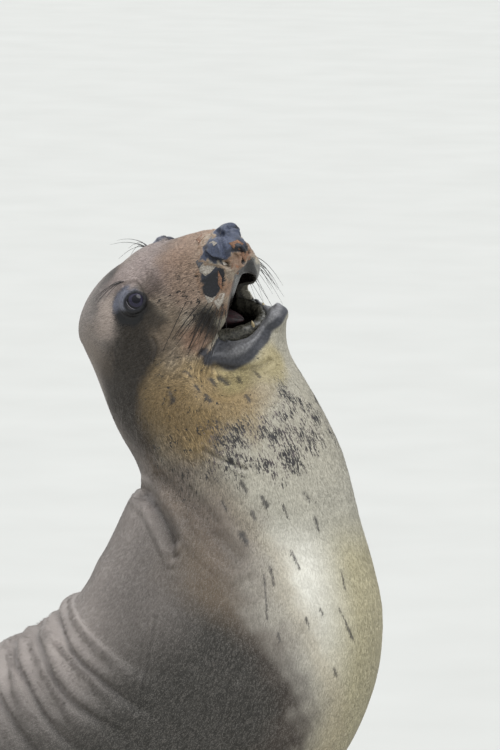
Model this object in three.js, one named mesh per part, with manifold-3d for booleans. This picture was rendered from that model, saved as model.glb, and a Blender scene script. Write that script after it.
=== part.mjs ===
// A young elephant seal that rears up and gapes, life size, in millimetres.
// It faces +X and lies along X, its right side is -Y, +Z is up and the floor is Z = 0.
import * as THREE from 'three';
import { mergeVertices } from 'three/addons/utils/BufferGeometryUtils.js';
import Module from 'manifold-3d';

const wasm = await Module();
wasm.setup();

// Driving dimensions
const GAP = 0.3;
const COLOURS = {
  back: '#7d6f62',
  flank: '#8a7968',
  chest: '#cfc3a4',
  face: '#86705f',
  jaw: '#8d8f93',
  tongue: '#5d2228',
  eye: '#191a24',
  flipper: '#5f564d',
};

// Body: centre line and reach of the section to the back, the belly and each side
const BODY = [
  // x, y, z, up, down, side
  [-1318, 0, 72, 16, 22, 24],
  [-1290, 0, 71, 46, 62, 64],
  [-1200, 0, 88, 70, 92, 98],
  [-1080, 0, 112, 106, 128, 144],
  [-900, 0, 142, 145, 160, 198],
  [-700, 0, 168, 178, 186, 240],
  [-520, 0, 184, 190, 202, 262],
  [-380, 0, 219, 204, 237, 272],
  [-245, 0, 282, 210, 287, 274],
  [-135, 0, 362, 216, 300, 272],
  [-55, 0, 449, 222, 304, 264],
  [-8, 0, 535, 226, 282, 254],
  [10, 0, 612, 214, 243, 234],
  [18, 0, 680, 197, 208, 204],
  [22, 0, 746, 175, 180, 178],
  [4, 0, 806, 163, 164, 165],
  [-26, 0, 860, 155, 160, 160],
  [-60, 4, 912, 158, 152, 145],
  [-94, 10, 960, 150, 128, 125],
  [-125, 18, 1000, 140, 108, 108],
  [-150, 24, 1035, 124, 88, 94],
];
const NECK_END = 50;
const BODY_SIDES = 32;
const CUT_HIPS = 4.2;
const CUT_TORSO = 8.2;
const CUT_CHEST = 12.9;
const CUT_NECK = 16.2;
const TAIL_END = 0.02;
const CUT_STEP = 0.0035;

// Folds across the back where the body bends upright
const FOLDS = [
  // place along the centre line, height
  [6.35, 7],
  [7.00, 11],
  [7.62, 13],
  [8.24, 14],
  [8.86, 13],
];
const FOLD_WIDTH = 0.2;
// How far the folds reach down each side: height at the side, and its gain towards the back
const FOLD_WRAP = [0.4, 0.95];

// Head: it turns to the right, its nose is up, and it is rolled to the right
const HEAD_AT = [-118, -40, 1101];
const HEAD_YAW = -21.7;
const HEAD_PITCH = 23;
const HEAD_ROLL = 34.1;
const GAPE = 26;
const HINGE = [-45, 0, -72];

// Muzzle, from between the eyes to the nose, in the head's frame
const MUZZLE = [
  [0, 0, -26, 58, 96, 70],
  [30, 0, -32, 63, 106, 68],
  [60, 0, -36, 65, 114, 66],
  [92, 0, -37, 64, 111, 61],
  [120, 0, -33, 59, 92, 55],
  [143, 0, -27, 50, 62, 46],
  [160, 0, -20, 36, 44, 34],
  [172, 0, -16, 16, 24, 16],
];
// Lower jaw with the mouth shut
const JAW = [
  [-50, 0, -100, 40, 48, 84],
  [20, 0, -118, 40, 48, 80],
  [72, 0, -118, 43, 44, 74],
  [104, 0, -122, 30, 28, 59],
  [132, 0, -109, 28, 24, 46],
  [150, 0, -94, 30, 20, 36],
  [163, 0, -80, 22, 16, 25],
];
// Edges of the gape: forward, up
const MOUTH_CORNER = 66;
const UPPER_LIP = [
  [58, -128], [75, -122], [92, -116], [112, -103], [133, -85], [156, -60], [166, -53], [200, -50],
];
const LOWER_LIP = [
  [58, -132], [78, -149], [96, -155], [112, -157], [128, -154], [142, -149], [160, -148], [200, -147],
];

// Head shapes, alike on both sides: centre and radii
const CRANIUM = [[-78, 0, -36], [98, 92, 58]];
const BROW = [[-14, 0, -24], [78, 74, 54]];
const CHEEK = [[-34, 42, -76], [80, 46, 60]];
const WHISKER_PAD = [[104, 40, -74], [44, 24, 34]];
const NOSE_LOBE = [[158, 20, -4], [22, 22, 21]];
const SECTION_SQUARE = 2.4;
// How softly each form runs into the rest
const SOFT = {
  brow: 20, muzzle: 22, cheek: 26, pad: 14, nose: 13, jaw: 26, neck: 66, side: 34, hollow: 14, lid: 5,
};
// Hollow beside the jaw, below the corner of the mouth
const JAW_SIDE = [[108, 128, -156], [58, 45, 46]];
// Inside of the mouth
const MOUTH_VAULT = [[84, 0, -100], [64, 48, 50]];
const MOUTH_FLOOR = [[82, 0, -90], [72, 52, 24]];
const GULLET = { from: [60, 0, -118], to: [-20, 0, -122], wide: 32, narrow: 16 };
const MOUTH_SOFT = { lips: 14, walls: 8, gullet: 16 };

const EYE_RADIUS = 24;
const EYE_AT = [-15, 70, -6];
const EYE_GAZE = [0.62, 0.7, 0.36];
const EYE_HOLLOW = 31;
const EYE_HOLLOW_OUT = 49;
const LID_DOME = 28.5;
const LID_OPEN = [15, 12.5];
const LID_WIDE = 4.5;
const LID_THICK = 3.6;
const LID_ROOM = 4;
const LID_STEPS = 22;
const LID_SIDES = 6;
const NOSTRIL_AT = [166, 17, -1];
const NOSTRIL = [13, 5, 8];
const EAR_AT = [-92, -50];
const EAR_HOLE = 4.5;
// Canines with the mouth shut: root and tip
const UPPER_CANINE = [[122, 27, -58], [126, 27, -92]];
const LOWER_CANINE = [[129, 24, -112], [133, 24, -70]];
const CANINE_WIDTH = 6.5;
const CANINE_BOW = 1.6;
const SPIKE_RINGS = 3;
const SPIKE_SIDES = 6;
// Cut between head and lower jaw: where it starts, how far it runs and how it leans
const JAW_CUT = { forward: 58, up: -131, reach: 260, rise: 30, lean: 62, drop: 320, wide: 300 };
// Grid lines of the head and the mouth: a first place, then pairs of next place and step
const HEAD_GRID = [
  [-300, -50, 25, 0, 14, 60, 12, 195, 11],
  [-270, -95, 25, -60, 14, 60, 11.6, 95, 14, 225, 26],
  [-430, -225, 25, -175, 14, 50, 11.2, 90, 14],
];
const MOUTH_GRID = [[-60, 50, 16, 210, 12], [-154, 154, 13], [-204, -24, 12]];

// Tongue in the head's frame: forward, left, up, reach up, down and to the side
const TONGUE = [
  [-4, 0, -132, 12, 16, 16],
  [14, 0, -131, 13, 20, 24],
  [38, 0, -139, 14, 20, 28],
  [60, 0, -152, 12, 16, 27],
  [80, 0, -164, 9, 12, 22],
  [94, 0, -171, 5, 7, 12],
];
const TONGUE_RINGS = 8;
const TONGUE_SIDES = 14;
const TONGUE_GROOVE = 2.5;

// Flippers: x, y, z of the middle, half width, half thickness, and the way across
const FOREFLIPPER = {
  rows: [
    [-75, 170, 262, 80, 58, 1, 0, 0.25],
    [-62, 232, 196, 80, 50, 1, 0.05, 0.3],
    [-56, 284, 132, 74, 41, 1, 0.15, 0.25],
    [-58, 326, 76, 68, 33, 0.95, 0.3, 0.12],
    [-72, 364, 38, 68, 27, 0.88, 0.47, 0.03],
    [-98, 406, 22.5, 74, 23, 0.82, 0.57, 0],
    [-130, 450, 16.5, 80, 17, 0.8, 0.6, 0],
    [-164, 494, 12, 80, 12.5, 0.8, 0.6, 0],
    [-194, 532, 8, 70, 8.5, 0.8, 0.6, 0],
    [-208, 550, 4, 56, 4.5, 0.8, 0.6, 0],
  ],
  digits: 5,
  from: 3.5,
  ridge: [0.34, 0],
  depth: -34,
  lean: 20,
  scallop: 7,
  sides: 30,
  rings: 11,
  claw: 27,
};
const HINDFLIPPER = {
  rows: [
    [-1195, 42, 84, 42, 34, 0, 0, -1],
    [-1250, 52, 82, 46, 28, 0, 0, -1],
    [-1310, 60, 84, 54, 20, 0, 0, -1],
    [-1366, 67, 90, 70, 15, 0, 0.05, -1],
    [-1422, 75, 97, 88, 11, 0, 0.1, -1],
    [-1472, 84, 103, 102, 8, 0, 0.15, -1],
    [-1506, 91, 108, 108, 4, 0, 0.2, -1],
  ],
  digits: 5,
  from: 2,
  ridge: [0.3, 0.3],
  depth: 36,
  lean: 0,
  scallop: 5,
  sides: 30,
  rings: 10,
  claw: 0,
};
const TAIL = {
  rows: [
    [-1225, 0, 84, 36, 22, 0, 1, 0],
    [-1285, 0, 82, 30, 17, 0, 1, 0],
    [-1325, 0, 77, 24, 12, 0, 1, 0],
    [-1352, 0, 72, 12, 6, 0, 1, 0],
  ],
  digits: 0,
  from: 2,
  ridge: [0, 0],
  depth: -8,
  lean: 0,
  scallop: 0,
  sides: 12,
  rings: 6,
  claw: 0,
};
// Claws: half width, how far behind the tip each is rooted, how high it sits, and its bow
const CLAW = { width: 6, back: 0.6, sunk: 18, rootHigh: 0.55, tipHigh: 0.8, bow: 4, clear: 5 };
const FLOOR_SNAP = 0.05;

// Search along a ray from the centre line, as shares of the section, and how fine it is
const CAST = { near: 0.4, far: 2.2, shrink: 0.7, steps: 60, halvings: 22 };
const BLOCK = 900;

const radians = THREE.MathUtils.degToRad;
const mix = (a, b, t) => a + (b - a) * t;
const clamp = (v, low, high) => Math.min(Math.max(v, low), high);

// Frames
const headTurn = new THREE.Matrix4().makeRotationFromEuler(
  new THREE.Euler(radians(HEAD_ROLL), radians(-HEAD_PITCH), radians(HEAD_YAW), 'ZYX'),
);
const headFrame = new THREE.Matrix4().makeTranslation(...HEAD_AT).multiply(headTurn);
const toHead = headFrame.clone().invert();

function apply(matrix, p) {
  const e = matrix.elements;
  return [
    e[0] * p[0] + e[4] * p[1] + e[8] * p[2] + e[12],
    e[1] * p[0] + e[5] * p[1] + e[9] * p[2] + e[13],
    e[2] * p[0] + e[6] * p[1] + e[10] * p[2] + e[14],
  ];
}

// Shape functions: negative inside, positive outside
function ellipsoid(p, centre, radii) {
  const x = (p[0] - centre[0]) / radii[0];
  const y = (p[1] - centre[1]) / radii[1];
  const z = (p[2] - centre[2]) / radii[2];
  const near = Math.hypot(x, y, z);
  const slope = Math.hypot(x / radii[0], y / radii[1], z / radii[2]);
  return slope < 1e-9 ? -Math.min(...radii) : (near * (near - 1)) / slope;
}

function taper(p, a, b, ra, rb) {
  const d = [b[0] - a[0], b[1] - a[1], b[2] - a[2]];
  const q = [p[0] - a[0], p[1] - a[1], p[2] - a[2]];
  const t = clamp((q[0] * d[0] + q[1] * d[1] + q[2] * d[2]) / (d[0] ** 2 + d[1] ** 2 + d[2] ** 2), 0, 1);
  return Math.hypot(q[0] - d[0] * t, q[1] - d[1] * t, q[2] - d[2] * t) - mix(ra, rb, t);
}

function blend(a, b, reach) {
  const h = Math.max(reach - Math.abs(a - b), 0) / reach;
  return Math.min(a, b) - (h * h * reach) / 4;
}

function carve(a, b, reach) {
  return -blend(-a, b, reach);
}

// A swept form: rows of x, y, z, up, down, side, and how square each section is
class Sweep {
  constructor(rows, samples, squareness = 2, endReach = null) {
    this.rows = rows;
    this.endReach = endReach;
    this.last = rows.length - 1;
    this.samples = samples;
    this.squareness = squareness;
    this.line = [];
    for (let i = 0; i <= samples; i += 1) this.line.push(this.station((i / samples) * this.last));
  }

  row(t) {
    const i = clamp(Math.floor(t), 0, this.last - 1);
    const u = t - i;
    const pick = [Math.max(i - 1, 0), i, i + 1, Math.min(i + 2, this.last)];
    return this.rows[0].map((_, k) => {
      const [a, b, c, d] = pick.map((n) => this.rows[n][k]);
      return b + 0.5 * u * (c - a + u * (2 * a - 5 * b + 4 * c - d + u * (3 * (b - c) + d - a)));
    });
  }

  station(t) {
    const row = this.row(t);
    const before = this.row(Math.max(t - 0.02, 0));
    const after = this.row(Math.min(t + 0.02, this.last));
    const way = new THREE.Vector3(after[0] - before[0], after[1] - before[1], after[2] - before[2]);
    const speed = way.length() / (Math.min(t + 0.02, this.last) - Math.max(t - 0.02, 0));
    way.normalize();
    const side = new THREE.Vector3(0, 1, 0).addScaledVector(way, -way.y).normalize();
    const up = new THREE.Vector3().crossVectors(way, side);
    return { t, row, speed, along: way.toArray(), side: side.toArray(), up: up.toArray() };
  }

  nearest(p) {
    let best = 1e18;
    let found = 0;
    for (let i = 0; i <= this.samples; i += 1) {
      const c = this.line[i].row;
      const d = (p[0] - c[0]) ** 2 + (p[1] - c[1]) ** 2 + (p[2] - c[2]) ** 2;
      if (d < best) {
        best = d;
        found = i;
      }
    }
    return this.line[found];
  }

  // signed distance, the place along the line and the angle round it
  measure(p) {
    const s = this.nearest(p);
    const step = this.last / this.samples;
    const ahead = dot([p[0] - s.row[0], p[1] - s.row[1], p[2] - s.row[2]], s.along);
    const t = clamp(s.t + clamp(ahead / s.speed, -step, step), 0, this.last);
    const row = this.row(t);
    const r = [p[0] - row[0], p[1] - row[1], p[2] - row[2]];
    const across = dot(r, s.side);
    const high = dot(r, s.up);
    const past = t === 0 || t === this.last ? Math.abs(dot(r, s.along)) : 0;
    const reach = high > 0 ? row[3] : row[4];
    const away = Math.hypot(across, high, past);
    if (away < 1) return { distance: -Math.min(row[3], row[5]), t, angle: 0 };
    const n = this.squareness;
    const beyond = past / (this.endReach || row[5]);
    const rho = (Math.abs(across / row[5]) ** n + Math.abs(high / reach) ** n + beyond ** n) ** (1 / n);
    return { distance: away - away / rho, t, angle: Math.atan2(high, across) };
  }
}

const dot = (a, b) => a[0] * b[0] + a[1] * b[1] + a[2] * b[2];

const bodySweep = new Sweep(BODY, 260, 2, NECK_END);
const muzzleSweep = new Sweep(MUZZLE, 60, SECTION_SQUARE);
const jawSweep = new Sweep(JAW, 60, SECTION_SQUARE);

function foldHeight(t, angle) {
  let height = 0;
  for (const [place, rise] of FOLDS) {
    const d = (t - place) / FOLD_WIDTH;
    height += rise * Math.exp(-d * d);
  }
  return height * clamp(FOLD_WRAP[0] + FOLD_WRAP[1] * Math.sin(angle), 0, 1);
}

function bodyField(p) {
  const { distance, t, angle } = bodySweep.measure(p);
  return distance - foldHeight(t, angle);
}

// Lower jaw: points are given with the mouth shut and swing open about the hinge
function toShut(p) {
  const c = Math.cos(radians(GAPE));
  const s = Math.sin(radians(GAPE));
  const x = p[0] - HINGE[0];
  const z = p[2] - HINGE[2];
  return [HINGE[0] + c * x - s * z, p[1], HINGE[2] + s * x + c * z];
}

// Height of a line given as pairs of place and height, smooth between them
function profile(pairs, x) {
  if (x <= pairs[0][0]) return pairs[0][1];
  for (let i = 1; i < pairs.length; i += 1) {
    if (x > pairs[i][0]) continue;
    const u = (x - pairs[i - 1][0]) / (pairs[i][0] - pairs[i - 1][0]);
    const [a, d] = [pairs[Math.max(i - 2, 0)][1], pairs[Math.min(i + 1, pairs.length - 1)][1]];
    const [b, c] = [pairs[i - 1][1], pairs[i][1]];
    return b + 0.5 * u * (c - a + u * (2 * a - 5 * b + 4 * c - d + u * (3 * (b - c) + d - a)));
  }
  return pairs[pairs.length - 1][1];
}

// Head shapes in its own frame: forward, left, up, from the point between the eyes
function upperHead(h) {
  const p = [h[0], Math.abs(h[1]), h[2]];
  let d = ellipsoid(p, ...CRANIUM);
  d = blend(d, ellipsoid(p, ...BROW), SOFT.brow);
  d = blend(d, muzzleSweep.measure(p).distance, SOFT.muzzle);
  d = blend(d, ellipsoid(p, ...CHEEK), SOFT.cheek);
  d = blend(d, ellipsoid(p, ...WHISKER_PAD), SOFT.pad);
  return blend(d, ellipsoid(p, ...NOSE_LOBE), SOFT.nose);
}

// Hollow round each eye and the dome of its lids
function withEyes(d, h) {
  const p = [h[0], Math.abs(h[1]), h[2]];
  const out = EYE_GAZE.map((v, j) => EYE_AT[j] + v * EYE_HOLLOW_OUT);
  const hollow = carve(d, ellipsoid(p, out, [EYE_HOLLOW, EYE_HOLLOW, EYE_HOLLOW]), SOFT.hollow);
  return blend(hollow, ellipsoid(p, EYE_AT, [LID_DOME, LID_DOME, LID_DOME]), SOFT.lid);
}

function lowerJaw(h) {
  const q = toShut(h);
  return jawSweep.measure([q[0], Math.abs(q[1]), q[2]]).distance;
}

// The gape: its outline seen from the side, a vault above and a floor below
function mouthSpace(h) {
  const g = [h[0], Math.abs(h[1]), h[2]];
  const q = toShut(h);
  const p = [q[0], Math.abs(q[1]), q[2]];
  const under = h[2] - profile(UPPER_LIP, h[0]);
  const over = profile(LOWER_LIP, h[0]) - h[2];
  let d = Math.max(carve(under, -over, MOUTH_SOFT.lips), MOUTH_CORNER - h[0]);
  d = blend(d, ellipsoid(g, ...MOUTH_VAULT), MOUTH_SOFT.walls);
  d = blend(d, ellipsoid(p, ...MOUTH_FLOOR), MOUTH_SOFT.walls);
  return blend(d, taper(g, GULLET.from, GULLET.to, GULLET.wide, GULLET.narrow), MOUTH_SOFT.gullet);
}

function wholeField(p) {
  const h = apply(toHead, p);
  let d = blend(upperHead(h), lowerJaw(h), SOFT.jaw);
  d = blend(d, bodyField(p), SOFT.neck);
  d = carve(d, ellipsoid([h[0], Math.abs(h[1]), h[2]], ...JAW_SIDE), SOFT.side);
  return withEyes(d, h);
}

function flesh(p) {
  return Math.max(wholeField(p), -p[2]);
}

// Closed body of rings between two places of the centre line
function ringSolid(from, to, rings, grow = 0) {
  const points = [];
  const faces = [];
  for (let i = 0; i <= rings; i += 1) {
    const t = mix(from, to, i / rings);
    const s = bodySweep.station(t);
    const row = s.row;
    for (let k = 0; k < BODY_SIDES; k += 1) {
      const angle = (k / BODY_SIDES) * 2 * Math.PI;
      const way = s.side.map((v, j) => v * Math.cos(angle) + s.up[j] * Math.sin(angle));
      const p = castOut(row, way, CAST.near * row[5], CAST.far * Math.max(row[4], row[5]), grow);
      const push = i === 0 ? -grow : i === rings ? grow : 0;
      points.push(p.map((v, j) => v + s.along[j] * push));
    }
  }
  for (let i = 0; i < rings; i += 1) {
    for (let k = 0; k < BODY_SIDES; k += 1) {
      const n = (k + 1) % BODY_SIDES;
      const [a, b] = [i * BODY_SIDES + k, i * BODY_SIDES + n];
      const [c, d] = [b + BODY_SIDES, a + BODY_SIDES];
      faces.push(a, b, c, a, c, d);
    }
  }
  capRing(points, faces, 0, true);
  capRing(points, faces, rings * BODY_SIDES, false);
  return meshFrom(points, faces);
}

function capRing(points, faces, start, first) {
  const centre = [0, 0, 0];
  for (let k = 0; k < BODY_SIDES; k += 1) {
    for (let j = 0; j < 3; j += 1) centre[j] += points[start + k][j] / BODY_SIDES;
  }
  const middle = points.push(centre) - 1;
  for (let k = 0; k < BODY_SIDES; k += 1) {
    const a = start + k;
    const b = start + ((k + 1) % BODY_SIDES);
    if (first) faces.push(middle, b, a);
    else faces.push(middle, a, b);
  }
}

function castOut(from, way, near, far, grow) {
  const at = (r) => [from[0] + way[0] * r, from[1] + way[1] * r, from[2] + way[2] * r];
  let low = near;
  while (low > 1 && flesh(at(low)) > 0) low *= CAST.shrink;
  let high = low;
  const step = (far - low) / CAST.steps;
  while (high < far && flesh(at(high)) < 0) high += step;
  low = Math.max(high - step, 0);
  for (let i = 0; i < CAST.halvings; i += 1) {
    const middle = (low + high) / 2;
    if (flesh(at(middle)) < 0) low = middle;
    else high = middle;
  }
  const p = at(low + grow);
  if (p[2] < FLOOR_SNAP) p[2] = -grow;
  return p;
}

function meshFrom(points, faces) {
  const geometry = new THREE.BufferGeometry();
  geometry.setAttribute('position', new THREE.Float32BufferAttribute(points.flat(), 3));
  geometry.setIndex(faces);
  return geometry;
}

// Corners, edges and sides of one cell of a grid
const CORNERS = [0, 1, 2, 3, 4, 5, 6, 7].map((n) => [n >> 2, (n >> 1) & 1, n & 1]);
const EDGES = [];
for (let a = 0; a < 8; a += 1) {
  for (const step of [4, 2, 1]) {
    if (!(a & step)) EDGES.push([a, a | step]);
  }
}
const FACES = [];
for (const step of [4, 2, 1]) {
  for (const level of [0, step]) {
    FACES.push(EDGES.map((_, n) => n).filter((n) => EDGES[n].every((corner) => (corner & step) === level)));
  }
}

function faceCorners(face) {
  return [...new Set(face.flatMap((n) => EDGES[n]))];
}

function edgeAt(axis, start) {
  const from = start[0] * 4 + start[1] * 2 + start[2];
  const to = from | [4, 2, 1][axis];
  return EDGES.findIndex(([a, b]) => a === from && b === to);
}

// Closed skin of a field over a grid of uneven steps
function netSolid(field, xs, ys, zs) {
  const [nx, ny, nz] = [xs.length, ys.length, zs.length];
  const at = (i, j, k) => (i * ny + j) * nz + k;
  const value = new Float64Array(nx * ny * nz);
  for (let i = 0; i < nx; i += 1) {
    for (let j = 0; j < ny; j += 1) {
      for (let k = 0; k < nz; k += 1) {
        const edge = i === 0 || j === 0 || k === 0 || i === nx - 1 || j === ny - 1 || k === nz - 1;
        value[at(i, j, k)] = edge ? Math.max(field([xs[i], ys[j], zs[k]]), 1) : field([xs[i], ys[j], zs[k]]);
      }
    }
  }
  // one point for each sheet of the surface that passes through a cell
  const sheets = new Map();
  const points = [];
  function cellSheets(i, j, k) {
    const key = at(i, j, k);
    if (sheets.has(key)) return sheets.get(key);
    const values = CORNERS.map((c) => value[at(i + c[0], j + c[1], k + c[2])]);
    const crossed = EDGES.map(([a, b]) => values[a] < 0 !== values[b] < 0);
    const owner = EDGES.map((_, n) => n);
    const root = (n) => (owner[n] === n ? n : root(owner[n]));
    for (const face of FACES) {
      const cut = face.filter((n) => crossed[n]);
      if (cut.length === 2) owner[root(cut[0])] = root(cut[1]);
      if (cut.length === 4) {
        for (const corner of faceCorners(face)) {
          if (values[corner] >= 0) continue;
          const [m, n] = face.filter((edge) => EDGES[edge].includes(corner));
          owner[root(m)] = root(n);
        }
      }
    }
    const sums = new Map();
    EDGES.forEach(([a, b], n) => {
      if (!crossed[n]) return;
      const u = values[a] / (values[a] - values[b]);
      const sum = sums.get(root(n)) || [0, 0, 0, 0];
      sum[0] += mix(xs[i + CORNERS[a][0]], xs[i + CORNERS[b][0]], u);
      sum[1] += mix(ys[j + CORNERS[a][1]], ys[j + CORNERS[b][1]], u);
      sum[2] += mix(zs[k + CORNERS[a][2]], zs[k + CORNERS[b][2]], u);
      sum[3] += 1;
      sums.set(root(n), sum);
    });
    const index = new Map();
    for (const [n, sum] of sums) index.set(n, points.push(sum.slice(0, 3).map((v) => v / sum[3])) - 1);
    const found = EDGES.map((_, n) => index.get(root(n)));
    sheets.set(key, found);
    return found;
  }
  const faces = [];
  function quad(a, b, c, d, flip) {
    if (flip) faces.push(a, c, b, a, d, c);
    else faces.push(a, b, c, a, c, d);
  }
  const axes = [[1, 0, 0], [0, 1, 0], [0, 0, 1]];
  for (let i = 0; i < nx - 1; i += 1) {
    for (let j = 0; j < ny - 1; j += 1) {
      for (let k = 0; k < nz - 1; k += 1) {
        const here = value[at(i, j, k)] < 0;
        axes.forEach((axis, n) => {
          if ([i, j, k].some((m, across) => across !== n && m === 0)) return;
          if (here === value[at(i + axis[0], j + axis[1], k + axis[2])] < 0) return;
          const v = axes[(n + 1) % 3];
          const w = axes[(n + 2) % 3];
          const ring = [[1, 1], [0, 1], [0, 0], [1, 0]].map(([p, q]) => {
            const back = [0, 1, 2].map((m) => p * v[m] + q * w[m]);
            const edge = edgeAt(n, back);
            return cellSheets(i - back[0], j - back[1], k - back[2])[edge];
          });
          quad(...ring, !here);
        });
      }
    }
  }
  for (const p of points) settle(field, p);
  return meshFrom(points, faces);
}

// Moves a point onto the surface of the field
function settle(field, p) {
  for (let n = 0; n < 3; n += 1) {
    const d = field(p);
    const e = 0.5;
    const g = [0, 1, 2].map((j) => {
      const q = [...p];
      q[j] += e;
      return (field(q) - d) / e;
    });
    const size = dot(g, g);
    if (size < 0.05) return;
    const move = clamp(d / size, -3, 3);
    for (let j = 0; j < 3; j += 1) p[j] -= g[j] * move;
  }
}

// Joins and cuts
function toManifold(geometry) {
  const bare = new THREE.BufferGeometry();
  bare.setAttribute('position', geometry.attributes.position.clone());
  if (geometry.index) bare.setIndex(geometry.index.clone());
  const merged = mergeVertices(bare, 1e-3);
  return new wasm.Manifold(new wasm.Mesh({
    numProp: 3,
    vertProperties: new Float32Array(merged.attributes.position.array),
    triVerts: new Uint32Array(merged.index.array),
  }));
}

function largest(solid) {
  const pieces = solid.decompose();
  return pieces.reduce((a, b) => (a.volume() >= b.volume() ? a : b));
}

function toGeometry(solid) {
  const mesh = solid.getMesh();
  const geometry = new THREE.BufferGeometry();
  geometry.setAttribute('position', new THREE.BufferAttribute(new Float32Array(mesh.vertProperties), 3));
  geometry.setIndex(new THREE.BufferAttribute(new Uint32Array(mesh.triVerts), 1));
  return geometry;
}

// A block that starts at a point and reaches out along a direction
function blockBeyond(point, direction) {
  const box = new THREE.BoxGeometry(BLOCK, BLOCK, BLOCK);
  box.translate(0, 0, BLOCK / 2);
  const turn = new THREE.Quaternion().setFromUnitVectors(
    new THREE.Vector3(0, 0, 1),
    new THREE.Vector3(...direction),
  );
  box.applyQuaternion(turn);
  box.translate(...point);
  return toManifold(box);
}

function steps(stops) {
  // stops: value, then pairs of next value and step
  const list = [stops[0]];
  for (let i = 1; i < stops.length; i += 2) {
    const from = list[list.length - 1];
    const count = Math.max(1, Math.round((stops[i] - from) / stops[i + 1]));
    for (let n = 1; n <= count; n += 1) list.push(mix(from, stops[i], n / count));
  }
  return list;
}

const group = new THREE.Group();

function place(name, geometry, colour, roughness = 0.7) {
  const material = new THREE.MeshStandardMaterial({ color: colour, roughness, metalness: 0 });
  const mesh = new THREE.Mesh(geometry, material);
  mesh.name = name;
  group.add(mesh);
  return mesh;
}

// Closed sphere-like solid in the head's frame
function ball(centre, radii, around = 14, down = 9) {
  const shape = new THREE.SphereGeometry(1, around, down);
  shape.scale(...radii);
  shape.translate(...centre);
  return shape;
}

// Closed tube of rings: each ring is a list of points
function ringsSolid(ringList) {
  const sides = ringList[0].length;
  const points = ringList.flat();
  const faces = [];
  for (let i = 0; i + 1 < ringList.length; i += 1) {
    for (let k = 0; k < sides; k += 1) {
      const n = (k + 1) % sides;
      const [a, b] = [i * sides + k, i * sides + n];
      faces.push(a, b, b + sides, a, b + sides, a + sides);
    }
  }
  for (const [start, first] of [[0, true], [(ringList.length - 1) * sides, false]]) {
    const ring = points.slice(start, start + sides);
    const middle = points.push([0, 1, 2].map((j) => ring.reduce((sum, p) => sum + p[j], 0) / sides)) - 1;
    for (let k = 0; k < sides; k += 1) {
      const [a, b] = [start + k, start + ((k + 1) % sides)];
      if (first) faces.push(middle, b, a);
      else faces.push(middle, a, b);
    }
  }
  return meshFrom(points, faces);
}

// Lid rim: a closed ring that lies round the opening on the eyeball
function lidRim(side) {
  const centre = new THREE.Vector3(EYE_AT[0], side * EYE_AT[1], EYE_AT[2]);
  const gaze = new THREE.Vector3(EYE_GAZE[0], side * EYE_GAZE[1], EYE_GAZE[2]).normalize();
  const high = new THREE.Vector3(0, 0, 1).addScaledVector(gaze, -gaze.z).normalize();
  const wide = new THREE.Vector3().crossVectors(high, gaze);
  const points = [];
  const faces = [];
  for (let i = 0; i < LID_STEPS; i += 1) {
    const angle = (i / LID_STEPS) * 2 * Math.PI;
    const out = wide.clone().multiplyScalar(Math.cos(angle) * LID_OPEN[0]);
    out.addScaledVector(high, Math.sin(angle) * LID_OPEN[1]);
    const lift = Math.sqrt(EYE_RADIUS ** 2 - out.lengthSq());
    const rim = out.clone().addScaledVector(gaze, lift);
    const radial = rim.clone().normalize();
    const inward = out.clone().normalize();
    const across = inward.clone().addScaledVector(radial, -inward.dot(radial)).normalize();
    for (let k = 0; k < LID_SIDES; k += 1) {
      const turn = (k / LID_SIDES) * 2 * Math.PI;
      const p = centre.clone().add(rim);
      p.addScaledVector(across, LID_WIDE * (1 + Math.cos(turn)));
      const drop = (LID_WIDE * (1 + Math.cos(turn))) ** 2 / 2 / EYE_RADIUS;
      p.addScaledVector(radial, LID_THICK * Math.sin(turn) - drop);
      points.push(p.toArray());
    }
  }
  for (let i = 0; i < LID_STEPS; i += 1) {
    const m = (i + 1) % LID_STEPS;
    for (let k = 0; k < LID_SIDES; k += 1) {
      const n = (k + 1) % LID_SIDES;
      const [a, b, c, d] = [i * LID_SIDES + k, m * LID_SIDES + k, m * LID_SIDES + n, i * LID_SIDES + n];
      faces.push(a, b, c, a, c, d);
    }
  }
  return facingOut(meshFrom(points, faces));
}

// Turns the faces round where a closed mesh comes out inside out
function facingOut(geometry) {
  const p = geometry.attributes.position.array;
  const index = geometry.index.array;
  let volume = 0;
  for (let t = 0; t < index.length; t += 3) {
    const [a, b, c] = [index[t] * 3, index[t + 1] * 3, index[t + 2] * 3];
    volume += p[a] * (p[b + 1] * p[c + 2] - p[b + 2] * p[c + 1]);
    volume += p[a + 1] * (p[b + 2] * p[c] - p[b] * p[c + 2]);
    volume += p[a + 2] * (p[b] * p[c + 1] - p[b + 1] * p[c]);
  }
  if (volume < 0) {
    for (let t = 0; t < index.length; t += 3) [index[t], index[t + 1]] = [index[t + 1], index[t]];
  }
  return geometry;
}

// A tooth or a claw: a curved cone from its root to its tip
function spike(root, tip, radius, bow) {
  const rings = [];
  for (let i = 0; i <= SPIKE_RINGS; i += 1) {
    const t = i / SPIKE_RINGS;
    const size = Math.max(radius * Math.sqrt(1 - t * t * 0.97), 0.6);
    const way = new THREE.Vector3(...tip).sub(new THREE.Vector3(...root)).normalize();
    const side = new THREE.Vector3(0, 1, 0).addScaledVector(way, -way.y).normalize();
    const up = new THREE.Vector3().crossVectors(way, side);
    const ring = [];
    for (let k = 0; k < SPIKE_SIDES; k += 1) {
      const angle = (k / SPIKE_SIDES) * 2 * Math.PI;
      ring.push(root.map((v, j) => mix(v, tip[j], t)
        + bow[j] * Math.sin(Math.PI * t)
        + size * (side.getComponent(j) * Math.cos(angle) + up.getComponent(j) * Math.sin(angle))));
    }
    rings.push(ring);
  }
  return facingOut(ringsSolid(rings));
}

function openJaw(p) {
  const c = Math.cos(radians(GAPE));
  const s = Math.sin(radians(GAPE));
  const x = p[0] - HINGE[0];
  const z = p[2] - HINGE[2];
  return [HINGE[0] + c * x + s * z, p[1], HINGE[2] - s * x + c * z];
}

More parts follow.
